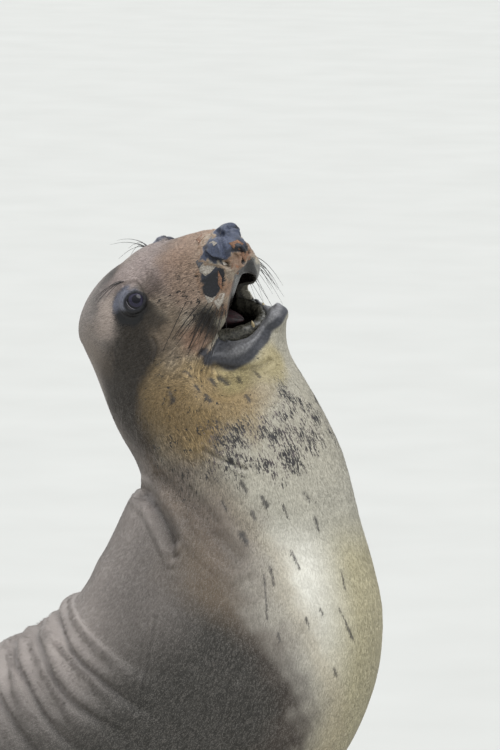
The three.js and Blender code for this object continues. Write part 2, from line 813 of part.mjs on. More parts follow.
// Tongue: an oval sweep on the floor of the mouth
function tongueSolid(grow) {
  const sweep = new Sweep(TONGUE, 20);
  const rings = [];
  for (let i = 0; i <= TONGUE_RINGS; i += 1) {
    const s = sweep.station((i / TONGUE_RINGS) * sweep.last);
    const ring = [];
    for (let k = 0; k < TONGUE_SIDES; k += 1) {
      const angle = (k / TONGUE_SIDES) * 2 * Math.PI;
      const high = Math.sin(angle);
      const reach = high > 0 ? s.row[3] : s.row[4];
      const groove = high > 0 ? TONGUE_GROOVE * Math.exp(-((Math.cos(angle) / 0.35) ** 2)) : 0;
      ring.push(s.row.slice(0, 3).map((v, j) => v
        + s.side[j] * Math.cos(angle) * (s.row[5] + grow)
        + s.up[j] * (high * (reach + grow) - groove)));
    }
    rings.push(ring);
  }
  return facingOut(ringsSolid(rings));
}

// The wedge that holds the lower jaw, from the corners of the mouth to the throat
function jawWedge(grow) {
  const { forward, up, reach, rise, lean, drop, wide } = JAW_CUT;
  const shape = new THREE.Shape([
    new THREE.Vector2(forward - grow, up + grow),
    new THREE.Vector2(forward + reach, up + rise + grow),
    new THREE.Vector2(forward + reach, up - drop),
    new THREE.Vector2(forward - lean - grow, up - drop),
  ]);
  const prism = new THREE.ExtrudeGeometry(shape, { depth: 2 * wide, bevelEnabled: false });
  prism.translate(0, 0, -wide);
  prism.applyMatrix4(new THREE.Matrix4().makeBasis(
    new THREE.Vector3(1, 0, 0),
    new THREE.Vector3(0, 0, 1),
    new THREE.Vector3(0, -1, 0),
  ));
  return toManifold(prism);
}

// Head with its mouth opened, cut from the neck, in its own frame
function headWhole() {
  const net = netSolid((h) => wholeField(apply(headFrame, h)), ...HEAD_GRID.map(steps));
  const mouth = netSolid(mouthSpace, ...MOUTH_GRID.map(steps));
  const s = bodySweep.station(CUT_NECK);
  const above = s.row.slice(0, 3).map((v, j) => v + s.along[j] * GAP);
  const block = blockBeyond(above, s.along);
  const keep = toGeometry(block).applyMatrix4(toHead);
  let solid = toManifold(net).subtract(toManifold(mouth)).intersect(toManifold(keep));
  for (const side of [-1, 1]) {
    const mirror = (p) => [p[0], side * p[1], p[2]];
    const at = mirror(EYE_AT);
    const gaze = mirror(EYE_GAZE);
    const front = at.map((v, j) => v + gaze[j] * EYE_RADIUS);
    const window = [LID_OPEN[0], LID_OPEN[0], LID_OPEN[1]].map((v) => v + LID_ROOM);
    solid = solid.subtract(toManifold(ball(front, window)));
    solid = solid.add(toManifold(lidRim(side)));
    solid = solid.subtract(toManifold(ball(at, Array(3).fill(EYE_RADIUS + GAP))));
    solid = solid.subtract(toManifold(ball(mirror(NOSTRIL_AT), NOSTRIL, 10, 6)));
    solid = solid.subtract(toManifold(ball(castSide(EAR_AT, side), Array(3).fill(EAR_HOLE), 8, 6)));
    const bow = [CANINE_BOW, 0, 0];
    solid = solid.add(toManifold(spike(...UPPER_CANINE.map(mirror), CANINE_WIDTH, bow)));
    solid = solid.add(toManifold(spike(...LOWER_CANINE.map(mirror).map(openJaw), CANINE_WIDTH, bow)));
  }
  return solid;
}

// Point of the head's side at a given place along and up
function castSide([f, u], side) {
  let low = 20;
  let high = 160;
  for (let i = 0; i < CAST.halvings; i += 1) {
    const middle = (low + high) / 2;
    if (wholeField(apply(headFrame, [f, side * middle, u])) < 0) low = middle;
    else high = middle;
  }
  return [f, side * low, u];
}

// A flipper: rings whose section is ridged over the digits, with a claw at the end of each
class Flipper {
  constructor(form, side) {
    this.form = form;
    this.side = side;
    this.last = form.rows.length - 1;
    const line = form.rows.map(([x, y, z, wide, thick]) => [x, side * y, z, thick, thick, wide]);
    this.sweep = new Sweep(line, 60);
  }

  // Point of the surface: place along, -1 to 1 across, then 1 on the back, 0 in the middle, -1 on the sole
  point(t, across, face) {
    const { rows, digits, from, ridge, depth, lean, scallop } = this.form;
    const s = this.sweep.station(t);
    const i = clamp(Math.floor(t), 0, this.last - 1);
    const wide = [5, 6, 7].map((n) => mix(rows[i][n], rows[i + 1][n], t - i) * (n === 6 ? this.side : 1));
    const along = new THREE.Vector3(...s.along);
    const w = new THREE.Vector3(...wide);
    w.addScaledVector(along, -w.dot(along)).normalize();
    const back = new THREE.Vector3().crossVectors(w, along).multiplyScalar(this.side);
    const out = clamp((t - from) / (this.last - from), 0, 1);
    const comb = Math.cos(across * Math.PI * digits);
    const swell = 1 + out * ridge[face > 0 ? 0 : 1] * (comb - 0.35);
    const p = new THREE.Vector3(...s.row.slice(0, 3));
    p.addScaledVector(w, across * s.row[5]);
    p.addScaledVector(back, face * s.row[3] * swell * Math.max(1 - across * across, 0) ** 0.4);
    p.addScaledVector(along, out * out * (depth * across * across + lean * across + scallop * comb));
    if (p.z < FLOOR_SNAP) p.z = 0;
    return p.toArray();
  }

  ring(t) {
    const half = this.form.sides / 2;
    const points = [];
    for (let k = 0; k < 2 * half; k += 1) {
      const across = k <= half ? 1 - (2 * k) / half : (2 * k) / half - 3;
      points.push(this.point(t, across, k === 0 || k === half ? 0 : Math.sign(half - k)));
    }
    return points;
  }

  blade() {
    const { sides, rings } = this.form;
    const half = sides / 2;
    const points = [];
    const faces = [];
    for (let i = 0; i <= rings; i += 1) points.push(...this.ring((i / rings) * this.last));
    for (let i = 0; i < rings; i += 1) {
      for (let k = 0; k < sides; k += 1) {
        const n = (k + 1) % sides;
        const [a, b] = [i * sides + k, i * sides + n];
        faces.push(a, b, b + sides, a, b + sides, a + sides);
      }
    }
    for (const [start, first] of [[0, true], [rings * sides, false]]) {
      for (let k = 0; k < half; k += 1) {
        const [a, b] = [start + k, start + k + 1];
        const [c, d] = [start + sides - k - 1, start + ((sides - k) % sides)];
        const corners = k === 0 ? [a, b, c] : k === half - 1 ? [a, b, d] : [a, b, c, a, c, d];
        if (first) corners.reverse();
        faces.push(...corners);
      }
    }
    return facingOut(meshFrom(points, faces));
  }

  solid() {
    let solid = toManifold(this.blade());
    const { digits, claw } = this.form;
    for (let n = 0; claw > 0 && n < digits; n += 1) {
      const across = (2 * n + 1) / digits - 1;
      const root = new THREE.Vector3(...this.point(this.last - CLAW.back, across, CLAW.rootHigh));
      const end = new THREE.Vector3(...this.point(this.last, across, CLAW.tipHigh));
      const tip = root.clone().addScaledVector(end.sub(root).normalize(), claw + CLAW.sunk);
      tip.z = Math.max(tip.z, CLAW.clear);
      solid = solid.add(toManifold(spike(root.toArray(), tip.toArray(), CLAW.width, [0, 0, CLAW.bow])));
    }
    return solid;
  }
}

function headFrameGeometry(solid) {
  return toGeometry(largest(solid)).applyMatrix4(headFrame);
}

const whole = headWhole();
const tongueGrown = toManifold(tongueSolid(GAP));
place('head', headFrameGeometry(whole.subtract(jawWedge(GAP)).subtract(tongueGrown)), COLOURS.face);
place('lower_jaw', headFrameGeometry(whole.intersect(jawWedge(0)).subtract(tongueGrown)), COLOURS.jaw);
place('tongue', tongueSolid(0).applyMatrix4(headFrame), COLOURS.tongue, 0.4);
const LENGTHS = {
  neck: [CUT_CHEST + CUT_STEP, CUT_NECK, 12, COLOURS.flank],
  chest: [CUT_TORSO + CUT_STEP, CUT_CHEST, 20, COLOURS.chest],
  torso: [CUT_HIPS + CUT_STEP, CUT_TORSO, 20, COLOURS.back],
  hips: [TAIL_END, CUT_HIPS, 9, COLOURS.back],
};
for (const [name, [from, to, rings, colour]] of Object.entries(LENGTHS)) {
  place(name, ringSolid(from, to, rings), colour);
}
const clearOf = (name) => toManifold(ringSolid(...LENGTHS[name].slice(0, 3), GAP));
const trunk = clearOf('chest').add(clearOf('torso')).add(clearOf('neck'));
const rump = clearOf('hips').add(clearOf('torso'));
for (const side of [-1, 1]) {
  const name = side < 0 ? 'right' : 'left';
  const eye = ball([EYE_AT[0], side * EYE_AT[1], EYE_AT[2]], [EYE_RADIUS, EYE_RADIUS, EYE_RADIUS]);
  place(`eye_${name}`, eye.applyMatrix4(headFrame), COLOURS.eye, 0.1);
  const fore = new Flipper(FOREFLIPPER, side).solid();
  place(`foreflipper_${name}`, toGeometry(largest(fore.subtract(trunk))), COLOURS.flipper);
  const hind = new Flipper(HINDFLIPPER, side).solid();
  place(`hindflipper_${name}`, toGeometry(largest(hind.subtract(rump))), COLOURS.flipper);
}
const tail = new Flipper(TAIL, 1).solid();
place('tail', toGeometry(largest(tail.subtract(rump))), COLOURS.back);

// The origin is the middle of the box, on the floor
const box = new THREE.Box3().setFromObject(group);
group.position.set(-(box.min.x + box.max.x) / 2, -(box.min.y + box.max.y) / 2, -box.min.z);

export default group;
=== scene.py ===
"""A young elephant seal that rears up and gapes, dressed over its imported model.

Metres, +X towards the nose, +Z up, the floor is Z = 0 and the animal's right side is -Y.
Places on the head are given in its own frame: forward, left, up, from the point between the eyes.
"""
import math

import bmesh
import bpy
import numpy as np
from mathutils import Matrix, Vector
from mathutils.bvhtree import BVHTree


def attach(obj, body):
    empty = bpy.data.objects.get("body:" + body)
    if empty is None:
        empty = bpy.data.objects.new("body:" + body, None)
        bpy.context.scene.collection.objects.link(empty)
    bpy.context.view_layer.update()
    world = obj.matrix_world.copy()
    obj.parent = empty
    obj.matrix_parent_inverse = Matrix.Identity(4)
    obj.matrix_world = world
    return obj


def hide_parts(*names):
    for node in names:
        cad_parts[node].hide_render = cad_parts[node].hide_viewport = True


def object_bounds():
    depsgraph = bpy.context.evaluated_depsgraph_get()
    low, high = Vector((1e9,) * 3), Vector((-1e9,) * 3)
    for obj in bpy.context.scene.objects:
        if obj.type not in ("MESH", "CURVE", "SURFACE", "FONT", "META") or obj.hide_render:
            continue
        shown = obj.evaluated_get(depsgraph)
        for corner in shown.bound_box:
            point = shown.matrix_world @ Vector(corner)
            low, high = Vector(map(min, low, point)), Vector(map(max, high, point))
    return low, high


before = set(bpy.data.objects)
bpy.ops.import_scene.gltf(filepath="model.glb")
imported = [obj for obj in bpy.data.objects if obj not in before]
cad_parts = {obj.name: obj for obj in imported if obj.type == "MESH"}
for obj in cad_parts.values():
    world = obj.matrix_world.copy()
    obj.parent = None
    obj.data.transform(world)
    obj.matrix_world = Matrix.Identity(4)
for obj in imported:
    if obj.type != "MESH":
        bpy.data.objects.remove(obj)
cad_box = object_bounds()

# The neck's axis lies this far in front of the hind flippers' ends
TAIL_BEHIND = 1.54665
NECK_X = cad_box[0][0] + TAIL_BEHIND
NECK = np.array([NECK_X, 0, 0])

# Camera: the photograph's view
PHOTO = (500, 750)
AZIMUTH = 18
ELEVATION = 8
DISTANCE = 9.0
AIM = (NECK_X + 0.03505, 0.0, 0.9272)
LENS = 259.2
SENSOR = 36
VIEW_END = 40

# Body: centre line and reach of the section to the back, the belly and each side
BODY = [
    # x from the neck, y, z, up, down, side
    (-1.318, 0, 0.072, 0.016, 0.022, 0.024),
    (-1.290, 0, 0.071, 0.046, 0.062, 0.064),
    (-1.200, 0, 0.088, 0.070, 0.092, 0.098),
    (-1.080, 0, 0.112, 0.106, 0.128, 0.144),
    (-0.900, 0, 0.142, 0.145, 0.160, 0.198),
    (-0.700, 0, 0.168, 0.178, 0.186, 0.240),
    (-0.520, 0, 0.184, 0.190, 0.202, 0.262),
    (-0.380, 0, 0.219, 0.204, 0.237, 0.272),
    (-0.245, 0, 0.282, 0.210, 0.287, 0.274),
    (-0.135, 0, 0.362, 0.216, 0.300, 0.272),
    (-0.055, 0, 0.449, 0.222, 0.304, 0.264),
    (-0.008, 0, 0.535, 0.226, 0.282, 0.254),
    (0.010, 0, 0.612, 0.214, 0.243, 0.234),
    (0.018, 0, 0.680, 0.197, 0.208, 0.204),
    (0.022, 0, 0.746, 0.175, 0.180, 0.178),
    (0.004, 0, 0.806, 0.163, 0.164, 0.165),
    (-0.026, 0, 0.860, 0.155, 0.160, 0.160),
    (-0.060, 0.004, 0.912, 0.158, 0.152, 0.145),
    (-0.094, 0.010, 0.960, 0.150, 0.128, 0.125),
    (-0.125, 0.018, 1.000, 0.140, 0.108, 0.108),
    (-0.150, 0.024, 1.035, 0.124, 0.088, 0.094),
]
NECK_END = 0.05
# Rolls across the back: place along the centre line at the spine, height
FOLDS = [(9.00, 0.014), (8.46, 0.020), (7.98, 0.020), (7.52, 0.018), (7.05, 0.014), (6.58, 0.009)]
FOLD_WIDTH = 0.19
# They lean towards the head down each side, per radian, and fade between two angles from the spine
FOLD_LEAN = 0.573
FOLD_FADE = (1.85, 1.15)

# Head: it turns to the right, its nose is up, and it is rolled to the right
HEAD_AT = (-0.118, -0.040, 1.101)
HEAD_YAW = -21.7
HEAD_PITCH = 23
HEAD_ROLL = 34.1
HEAD_REACH = 0.40
GAPE = 26
HINGE = (-0.045, -0.072)
MUZZLE = [
    (0, 0, -0.026, 0.058, 0.096, 0.070),
    (0.030, 0, -0.032, 0.063, 0.106, 0.068),
    (0.060, 0, -0.036, 0.065, 0.114, 0.066),
    (0.092, 0, -0.037, 0.064, 0.111, 0.061),
    (0.120, 0, -0.033, 0.059, 0.092, 0.055),
    (0.143, 0, -0.027, 0.050, 0.062, 0.046),
    (0.160, 0, -0.020, 0.036, 0.044, 0.034),
    (0.172, 0, -0.016, 0.016, 0.024, 0.016),
]
JAW = [
    (-0.050, 0, -0.100, 0.040, 0.048, 0.084),
    (0.020, 0, -0.118, 0.040, 0.048, 0.080),
    (0.072, 0, -0.118, 0.047, 0.044, 0.074),
    (0.104, 0, -0.122, 0.040, 0.028, 0.059),
    (0.132, 0, -0.109, 0.040, 0.024, 0.046),
    (0.150, 0, -0.094, 0.036, 0.020, 0.036),
    (0.163, 0, -0.080, 0.022, 0.016, 0.025),
]
MOUTH_CORNER = 0.066
UPPER_LIP = [
    (0.058, -0.128), (0.075, -0.122), (0.092, -0.116), (0.112, -0.103),
    (0.133, -0.085), (0.156, -0.060), (0.166, -0.053), (0.200, -0.050),
]
LOWER_LIP = [
    (0.058, -0.132), (0.078, -0.149), (0.096, -0.155), (0.112, -0.157),
    (0.128, -0.154), (0.142, -0.149), (0.160, -0.148), (0.200, -0.147),
]
# How much lower the upper lip, higher the lower lip and further forward the corner are on the far side,
# and from where to where to the left that grows
FAR_LIP_DROP = 0.021
FAR_LIP_RISE = 0.022
FAR_CORNER = 0.056
FAR_SIDE = (0.0, 0.036)
CRANIUM = ((-0.078, 0, -0.036), (0.098, 0.092, 0.058))
BROW = ((-0.014, 0, -0.024), (0.078, 0.074, 0.054))
CHEEK = ((-0.034, 0.042, -0.076), (0.080, 0.046, 0.060))
WHISKER_PAD = ((0.107, 0.042, -0.077), (0.045, 0.028, 0.037))
NOSE_LOBE = ((0.158, 0.020, -0.004), (0.022, 0.022, 0.021))
JAW_SIDE = ((0.108, 0.128, -0.156), (0.058, 0.045, 0.046))
MOUTH_VAULT = ((0.084, 0, -0.100), (0.064, 0.048, 0.050))
MOUTH_FLOOR = ((0.082, 0, -0.090), (0.072, 0.052, 0.024))
GULLET = ((0.060, 0, -0.118), (-0.020, 0, -0.122), 0.032, 0.016)
SECTION_SQUARE = 2.4
# Reach of the soft joins between the forms of the head
SOFT = {
    "brow": 0.020, "muzzle": 0.022, "cheek": 0.026, "pad": 0.014, "nose": 0.013, "jaw": 0.026, "neck": 0.066,
    "side": 0.034, "hollow": 0.014, "lid": 0.005, "lips": 0.014, "walls": 0.008, "gullet": 0.016,
    "lip": 0.009,
}
EYE_RADIUS = 0.024
EYE_AT = (-0.015, 0.070, -0.006)
EYE_GAZE = (0.62, 0.70, 0.36)
EYE_HOLLOW = 0.031
EYE_HOLLOW_OUT = 0.049
LID_DOME = 0.0285

# Body line: rounds of evening, finer rows between two rows, and samples along it
EVENING = 5
BODY_FINER = 4
BODY_SAMPLES = 260

# Skin: depth of the short coat, size of the net, and where it is finer
COAT_DEPTH = 0.0014
VOXEL = 0.0056
HEAD_STEP = 0.0055
NECK_NET = ((NECK_X - 0.35, -0.26, 0.73), (NECK_X + 0.26, 0.25, 1.21), HEAD_STEP)
HEAD_MIDDLE = (0.05, 0, -0.08)
# Where it is finer still: behind and round the head, round the eyes, the nose, near the lips, the chest
FINE_HEAD = (-0.10, 0.20)
FINE_EYE = 0.044
FINE_NOSE = (0.124, -0.21)
FINE_LIPS = (0.05, 0.009)
FINE_FRONT = (-0.10, 0.34, 1.02)
# Height and reach of the limbs' own net, and how it joins the body's
LIMB_TOP = 0.42
LIMB_REACH = 0.06
LIMB_JOIN = (0.15, 0.8)
FLOOR_CLEAR = 0.0004
SEED = 7
# Lower gums with the mouth shut: forward and to the side, then their height and width
GUM_ARCH = [(0.060, 0.046), (0.082, 0.044), (0.104, 0.038), (0.124, 0.026), (0.136, 0.010), (0.138, 0.0)]
GUM_TOP = -0.088
GUM_RISE = 0.014
GUM_WIDTH = 0.011
# Soft rim round the lower teeth: height of its middle, half width and half height of its section
GUM_MIDDLE = -0.0900
GUM_SIZE = (0.0125, 0.0185)
GUM_SIDES = 20
GUM_RINGS = 81
EYE_PATCH_AT = (-0.0225, 0.078, -0.007)
EYE_PATCH = (0.034, 0.036, 0.033)
# Way to the side of the naked skin round the eyes that carries the painted sheen
LID_SHEEN_WAY = (-0.06, 0.1, 0.99)
FLESH = [
    "head", "lower_jaw", "neck", "chest", "torso", "hips", "tail",
    "foreflipper_right", "foreflipper_left", "hindflipper_right", "hindflipper_left",
]
# Creases between the rolls: half width along the centre line, depth, and how dark the painted shade in them
# is
FOLD_CREASE = 0.055
CREASE_DEPTH = 0.005
CREASE_SHADE = 0.45
# Banks beside a groove: height against its depth, place and width against its own, and the width of the
# painted shade in it
BANK = 0.35
BANK_AT = 2.1
BANK_WIDTH = 0.8
DARK_WIDTH = 0.75
# Unevenness of the body: size, height, and which one
BODY_RIPPLES = [(0.16, 0.0014, 1), (0.06, 0.0006, 2), (0.02, 0.00015, 4)]
HIND_FROM = -0.55
# Where the head's own frame takes over, for mirroring the marks and for the lie of its coat
MIRROR_AT = (0, 0, -0.06)
MIRROR_REACH = (0.30, 0.22)
HEAD_COAT_AT = (0.02, 0, -0.06)
HEAD_COAT_REACH = (0.26, 0.17)
# Mean thickness of the trunk and of the head, for the spread of the pattern round them
BODY_THICK = 0.2
HEAD_THICK = 0.09
# The way the coat lies on a left foreflipper
LIMB_LIE = (-0.3, 0.8, -0.5)
# Settling of the skin: how near a point has to lie, over what it fades, and its longest step
SETTLE_REACH = 0.016
SETTLE_FADE = 0.006
SETTLE_STEP = 0.004

# Eyes: half width and height of the opening, then the lids' distance from the eye's middle outwards
EYE_OPEN = (0.0150, 0.0128)
LID_AT = [0, 0.80, 0.93, 1.02, 1.14, 1.35, 1.6]
LID_RADIUS = [0.0175, 0.0178, 0.0232, 0.0256, 0.0262, 0.0268, 0.0272]
LID_FOLDS = [(1.42, 0.0009), (1.80, 0.0010), (2.25, 0.0010), (2.75, 0.0007)]

# Colours, linear
COLOURS = {
    # The back's light grey and the flank's dark brown: partly the coat's own colours, partly painted light
    # on the top of the body and painted shade on its side
    "back": (0.330, 0.288, 0.262),
    "flank": (0.043, 0.040, 0.035),
    "rust": (0.105, 0.070, 0.052),
    "cream": (0.740, 0.720, 0.640),
    "belly": (0.450, 0.405, 0.265),
    "buff": (0.440, 0.375, 0.265),
    "gold": (0.235, 0.158, 0.070),
    "ochre": (0.330, 0.232, 0.105),
    "straw": (0.420, 0.350, 0.175),
    "cheek": (0.025, 0.019, 0.013),
    "muzzle": (0.400, 0.285, 0.215),
    "blush": (0.380, 0.270, 0.205),
    "crown": (0.370, 0.300, 0.275),
    "forehead": (0.250, 0.185, 0.150),
    "snout": (0.360, 0.240, 0.170),
    "rusty": (0.250, 0.150, 0.098),
    "pad": (0.022, 0.017, 0.014),
    "tan": (0.450, 0.370, 0.320),
    "sand": (0.340, 0.310, 0.280),
    "dash": (0.045, 0.042, 0.042),
    "stroke": (0.130, 0.104, 0.104),
    # Painted shade: the grooves, the creases between the rolls and where the body meets the floor
    "groove": (0.030, 0.027, 0.027),
    # Painted sheen: blue-grey on the upper side of the black skin round the eyes
    "lid": (0.165, 0.170, 0.215),
    "eye_rim": (0.010, 0.010, 0.014),
    "orbit": (0.004, 0.004, 0.005),
    "lip_rim": (0.215, 0.213, 0.220),
    "lip": (0.070, 0.068, 0.074),
    "lip_band": (0.040, 0.043, 0.055),
    "mauve": (0.250, 0.195, 0.190),
    "gum": (0.040, 0.038, 0.030),
    "palate": (0.010, 0.008, 0.008),
    # Painted shade: the lining deep in the mouth
    "throat": (0.006, 0.003, 0.003),
    "blood": (0.045, 0.008, 0.011),
    "nose": (0.076, 0.090, 0.140),
    "nose_dark": (0.014, 0.015, 0.020),
    "peel": (0.300, 0.180, 0.110),
    "flipper": (0.085, 0.078, 0.072),
    "fur_dark": (0.028, 0.025, 0.023),
    "umber": (0.185, 0.138, 0.095),
    # Painted shade of the patches down the border of the neck and chest
    "border_shade": (0.170, 0.135, 0.110),
    "ivory": (0.450, 0.430, 0.360),
}

# Where the brown of the side meets the pale front: tailwards of what the photograph shows
BORDER_BACK = ((0.0, 2.0, 3.0, 4.5, 6.0), (50, 62, 70, 72, 66))
# Waves of that border and of the back's grey: degrees, size in metres, which one
BORDER_WAVES = [(3.5, 0.05, 21), (1.6, 0.018, 22)]
BACK_WAVES = (7, 0.12, 23)
BACK_FROM = (80, 138)
# Softness of the border in degrees, and how much softer it is about a place along the body
BORDER_SOFT = 8
BORDER_SOFTER = 11
SOFTER_AT = 12.4
SOFTER_REACH = 2.2
# Tints along the border: how strong, how wide in degrees, and between which places they come in
RUST = 0.55
RUST_WIDTH = 15
RUST_FROM = (6, 8)
UMBER = 0.7
UMBER_FROM = (11, 12)
BUFF = 0.5
BUFF_AT = 10
BUFF_WIDTH = 9
BUFF_FROM = (7, 9)
# Tints of the pale front: the belly along and round the body, then tint, how strong, from and to. The
# belly's darker yellow is partly its own colour, partly painted shade where the front turns away
BELLY_FROM = (9.5, 7.5)
BELLY_TURN = (42, 12)
CREAM_TINTS = [("ivory", 1.0, 12.5, 13.8), ("buff", 0.22, 13.0, 15.0)]
# Patches: pixel, reach in metres, softness of the edge, what it is, how strong
PATCHES = {
    "cheek": ((128, 382), 0.070, 0.6, "cheek", 0.95),
    "neck_side": ((136, 425), 0.070, 0.8, "cheek", 0.80),
    "jowl": ((148, 342), 0.050, 0.5, "cheek", 0.95),
    "throat": ((188, 415), 0.075, 0.6, "gold", 0.9),
    "throat_left": ((166, 392), 0.044, 0.6, "gold", 0.8),
    "throat_right": ((232, 398), 0.055, 0.7, "ochre", 0.8),
    "chin": ((236, 374), 0.040, 0.5, "straw", 0.85),
    "chin_right": ((272, 364), 0.032, 0.6, "straw", 0.8),
    # Painted shade: darker patches down the border of the neck and chest
    "dusk_1": ((184, 474), 0.040, 0.9, "border_shade", 0.80),
    "dusk_2": ((212, 505), 0.046, 0.9, "border_shade", 0.75),
    "dusk_3": ((236, 540), 0.042, 0.9, "border_shade", 0.65),
    "dusk_4": ((258, 588), 0.036, 0.9, "border_shade", 0.35),
    "dusk_5": ((284, 636), 0.030, 0.9, "border_shade", 0.30),
    "amber": ((205, 430), 0.035, 0.9, "gold", 0.5),
    "amber_low": ((192, 446), 0.020, 0.9, "ochre", 0.6),
    "forehead": ((160, 260), 0.070, 0.7, "forehead", 0.9),
    "crown": ((134, 270), 0.045, 0.6, "crown", 0.9),
    "crown_low": ((112, 284), 0.030, 0.8, "crown", 0.6),
    "mauve": ((168, 278), 0.026, 0.7, "mauve", 0.8),
    "muzzle": ((190, 290), 0.045, 0.6, "muzzle", 0.9),
    "snout": ((184, 250), 0.042, 0.6, "snout", 0.85),
    "blush": ((181, 288), 0.022, 0.7, "blush", 0.9),
    "over_eye": ((150, 289), 0.019, 0.8, "cheek", 0.80),
    "under_eye": ((128, 340), 0.036, 0.7, "cheek", 0.70),
    "pad_back": ((173, 313), 0.016, 0.8, "umber", 0.7),
    "cheek_front": ((168, 330), 0.026, 0.7, "umber", 0.9),
    "corner_fur": ((182, 346), 0.034, 0.7, "umber", 0.85),
    "throat_top": ((202, 374), 0.032, 0.7, "ochre", 0.8),
    "lip_fur": ((198, 338), 0.028, 0.6, "rusty", 0.9),
    "lip_side": ((229, 288), 0.017, 0.6, "rusty", 0.9),
    "lip_side_low": ((224, 310), 0.016, 0.6, "rusty", 0.9),
    "pad": ((206, 318), 0.020, 0.5, "pad", 0.97),
    "pad_low": ((212, 330), 0.014, 0.7, "pad", 0.85),
    "snout_front": ((238, 262), 0.020, 0.6, "rusty", 0.85),
    "snout_far": ((248, 250), 0.018, 0.6, "rusty", 0.8),
    "temple": ((109, 305), 0.021, 0.6, "tan", 0.95),
    "temple_low": ((105, 326), 0.022, 0.7, "tan", 0.8),
    "nape": ((92, 352), 0.040, 0.9, "umber", 0.40),
    "lip_band_0": ((203, 352), 0.009, 0.4, "lip_band", 0.95),
    "lip_band_1": ((208, 360), 0.010, 0.4, "lip_band", 0.95),
    "behind_eye": ((152, 303), 0.022, 0.5, "cheek", 0.95),
    "behind_eye_low": ((156, 319), 0.018, 0.6, "cheek", 0.80),
    "mottle_1": ((232, 445), 0.055, 0.5, "mottle", 0.90),
    "mottle_2": ((275, 440), 0.072, 0.5, "mottle", 0.90),
    "mottle_3": ((305, 425), 0.070, 0.5, "mottle", 0.85),
    "mottle_4": ((290, 402), 0.050, 0.6, "mottle", 0.85),
    "mottle_5": ((222, 466), 0.035, 0.6, "mottle", 0.80),
    "mottle_6": ((300, 470), 0.060, 0.9, "mottle", 0.40),
    "mottle_7": ((246, 482), 0.030, 0.9, "mottle", 0.60),
    "specks_1": ((190, 400), 0.100, 0.7, "specks", 0.8),
    "specks_2": ((180, 450), 0.080, 0.8, "specks", 0.9),
    "specks_3": ((230, 400), 0.080, 0.8, "specks", 0.5),
    "specks_4": ((192, 298), 0.055, 0.6, "specks", 1.0),
}
# Mouth: how near and how deep its lining and the lips begin, in metres, in the lower and the upper jaw
NEAR_MOUTH = (0.018, 0.011)
INNER_LOWER = (0.0125, 0.0165)
INNER_UPPER = (0.0050, 0.0072)
LIP_LOWER = (0.0030, 0.0055)
LIP_UPPER = (0.0026, 0.0040)
# Slate band of the lower lip and its pale rim: how far forward, aside and down they reach
BAND_FRONT = (0.036, 0.052)
BAND_SIDE = (0.116, 0.096)
BAND_EDGE = (0.031, 0.024)
RIM_EDGE = (0.015, 0.007)
RIM_FRONT = (0.064, 0.10)
BLOOD_AT = (0.06, -0.03, -0.125)
BLOOD_REACH = 0.03
# Moulting skin of the nose: pixel and reach in metres
NOSE_SKIN = [
    ((214, 246), 0.030), ((236, 239), 0.022), ((226, 232), 0.018), ((212, 278), 0.022), ((210, 290), 0.015),
]
# Edge of the naked nose and of the peel round it, as shares of that reach, and where its low part is dark
NOSE_EDGE = (1.06, 0.94)
PEEL = 0.7
PEEL_AT = 1.12
PEEL_WIDTH = 0.10
NOSE_LOW = (-0.016, -0.030)
# Scraps of old skin: kind, outline in pixels, and how far each corner stands off the skin in metres
FLAPS = [
    ("pale", [(198, 265), (207, 264), (216, 266), (211, 272), (206, 275), (200, 271)],
     [0.0003, 0.0003, 0.0006, 0.0035, 0.0050, 0.0030]),
    ("pale",
     [(205, 295), (212, 298), (219, 294), (225, 293), (223, 302), (219, 309), (214, 301), (209, 303)],
     [0.0010, 0.0002, 0.0002, 0.0012, 0.0020, 0.0045, 0.0010, 0.0030]),
    ("pale", [(222, 261), (226, 262), (227, 266), (223, 266)], [0.0005, 0.0010, 0.0030, 0.0020]),
    ("pale", [(209, 243), (213, 241), (217, 243), (214, 246)], [0.0003, 0.0005, 0.0010, 0.0004]),
    ("rust", [(229, 243), (237, 240), (243, 244), (240, 250), (233, 248)],
     [0.0004, 0.0008, 0.0020, 0.0012, 0.0004]),
    ("rust", [(240, 253), (247, 251), (250, 258), (245, 262)], [0.0008, 0.0004, 0.0025, 0.0015]),
    ("rust", [(232, 263), (239, 266), (237, 274), (231, 272)], [0.0004, 0.0015, 0.0025, 0.0006]),
    ("rust", [(218, 270), (222, 278), (222, 291), (218, 284)], [0.0004, 0.0014, 0.0020, 0.0004]),
    ("rust", [(196, 240), (202, 234), (205, 236), (199, 244)], [0.0012, 0.0004, 0.0004, 0.0012]),
    ("slate", [(196, 262), (200, 257), (204, 262), (199, 268)], [0.0010, 0.0003, 0.0003, 0.0018]),
    ("slate", [(236, 228), (242, 230), (246, 236), (240, 235)], [0.0003, 0.0010, 0.0022, 0.0005]),
]
FLAP_THICK = 0.0005
FLAP_RISE = 0.0004
FLAP_WAVE = 0.0005
# How far the edge of the old skin stands up and the new skin of the nose lies lower
PEEL_STEP = 0.0011
PEEL_SUNK = 0.0006
FLOOR_HALF = 45
FLOOR_COLOURS = ((0.50, 0.50, 0.475), (0.56, 0.56, 0.535))
# Soft lights: direction round and up in degrees, softness in degrees, and power
SUNS = {"key": (66, 52, 40, 1.55), "rim": (-120, 45, 50, 0.50)}
SKY_LOW = 0.40
SKY_HIGH = 1.30
SKY_FROM = -0.1
SKY_TO = 0.9
SKY_COLOUR = (0.94, 0.97, 1.0, 1)
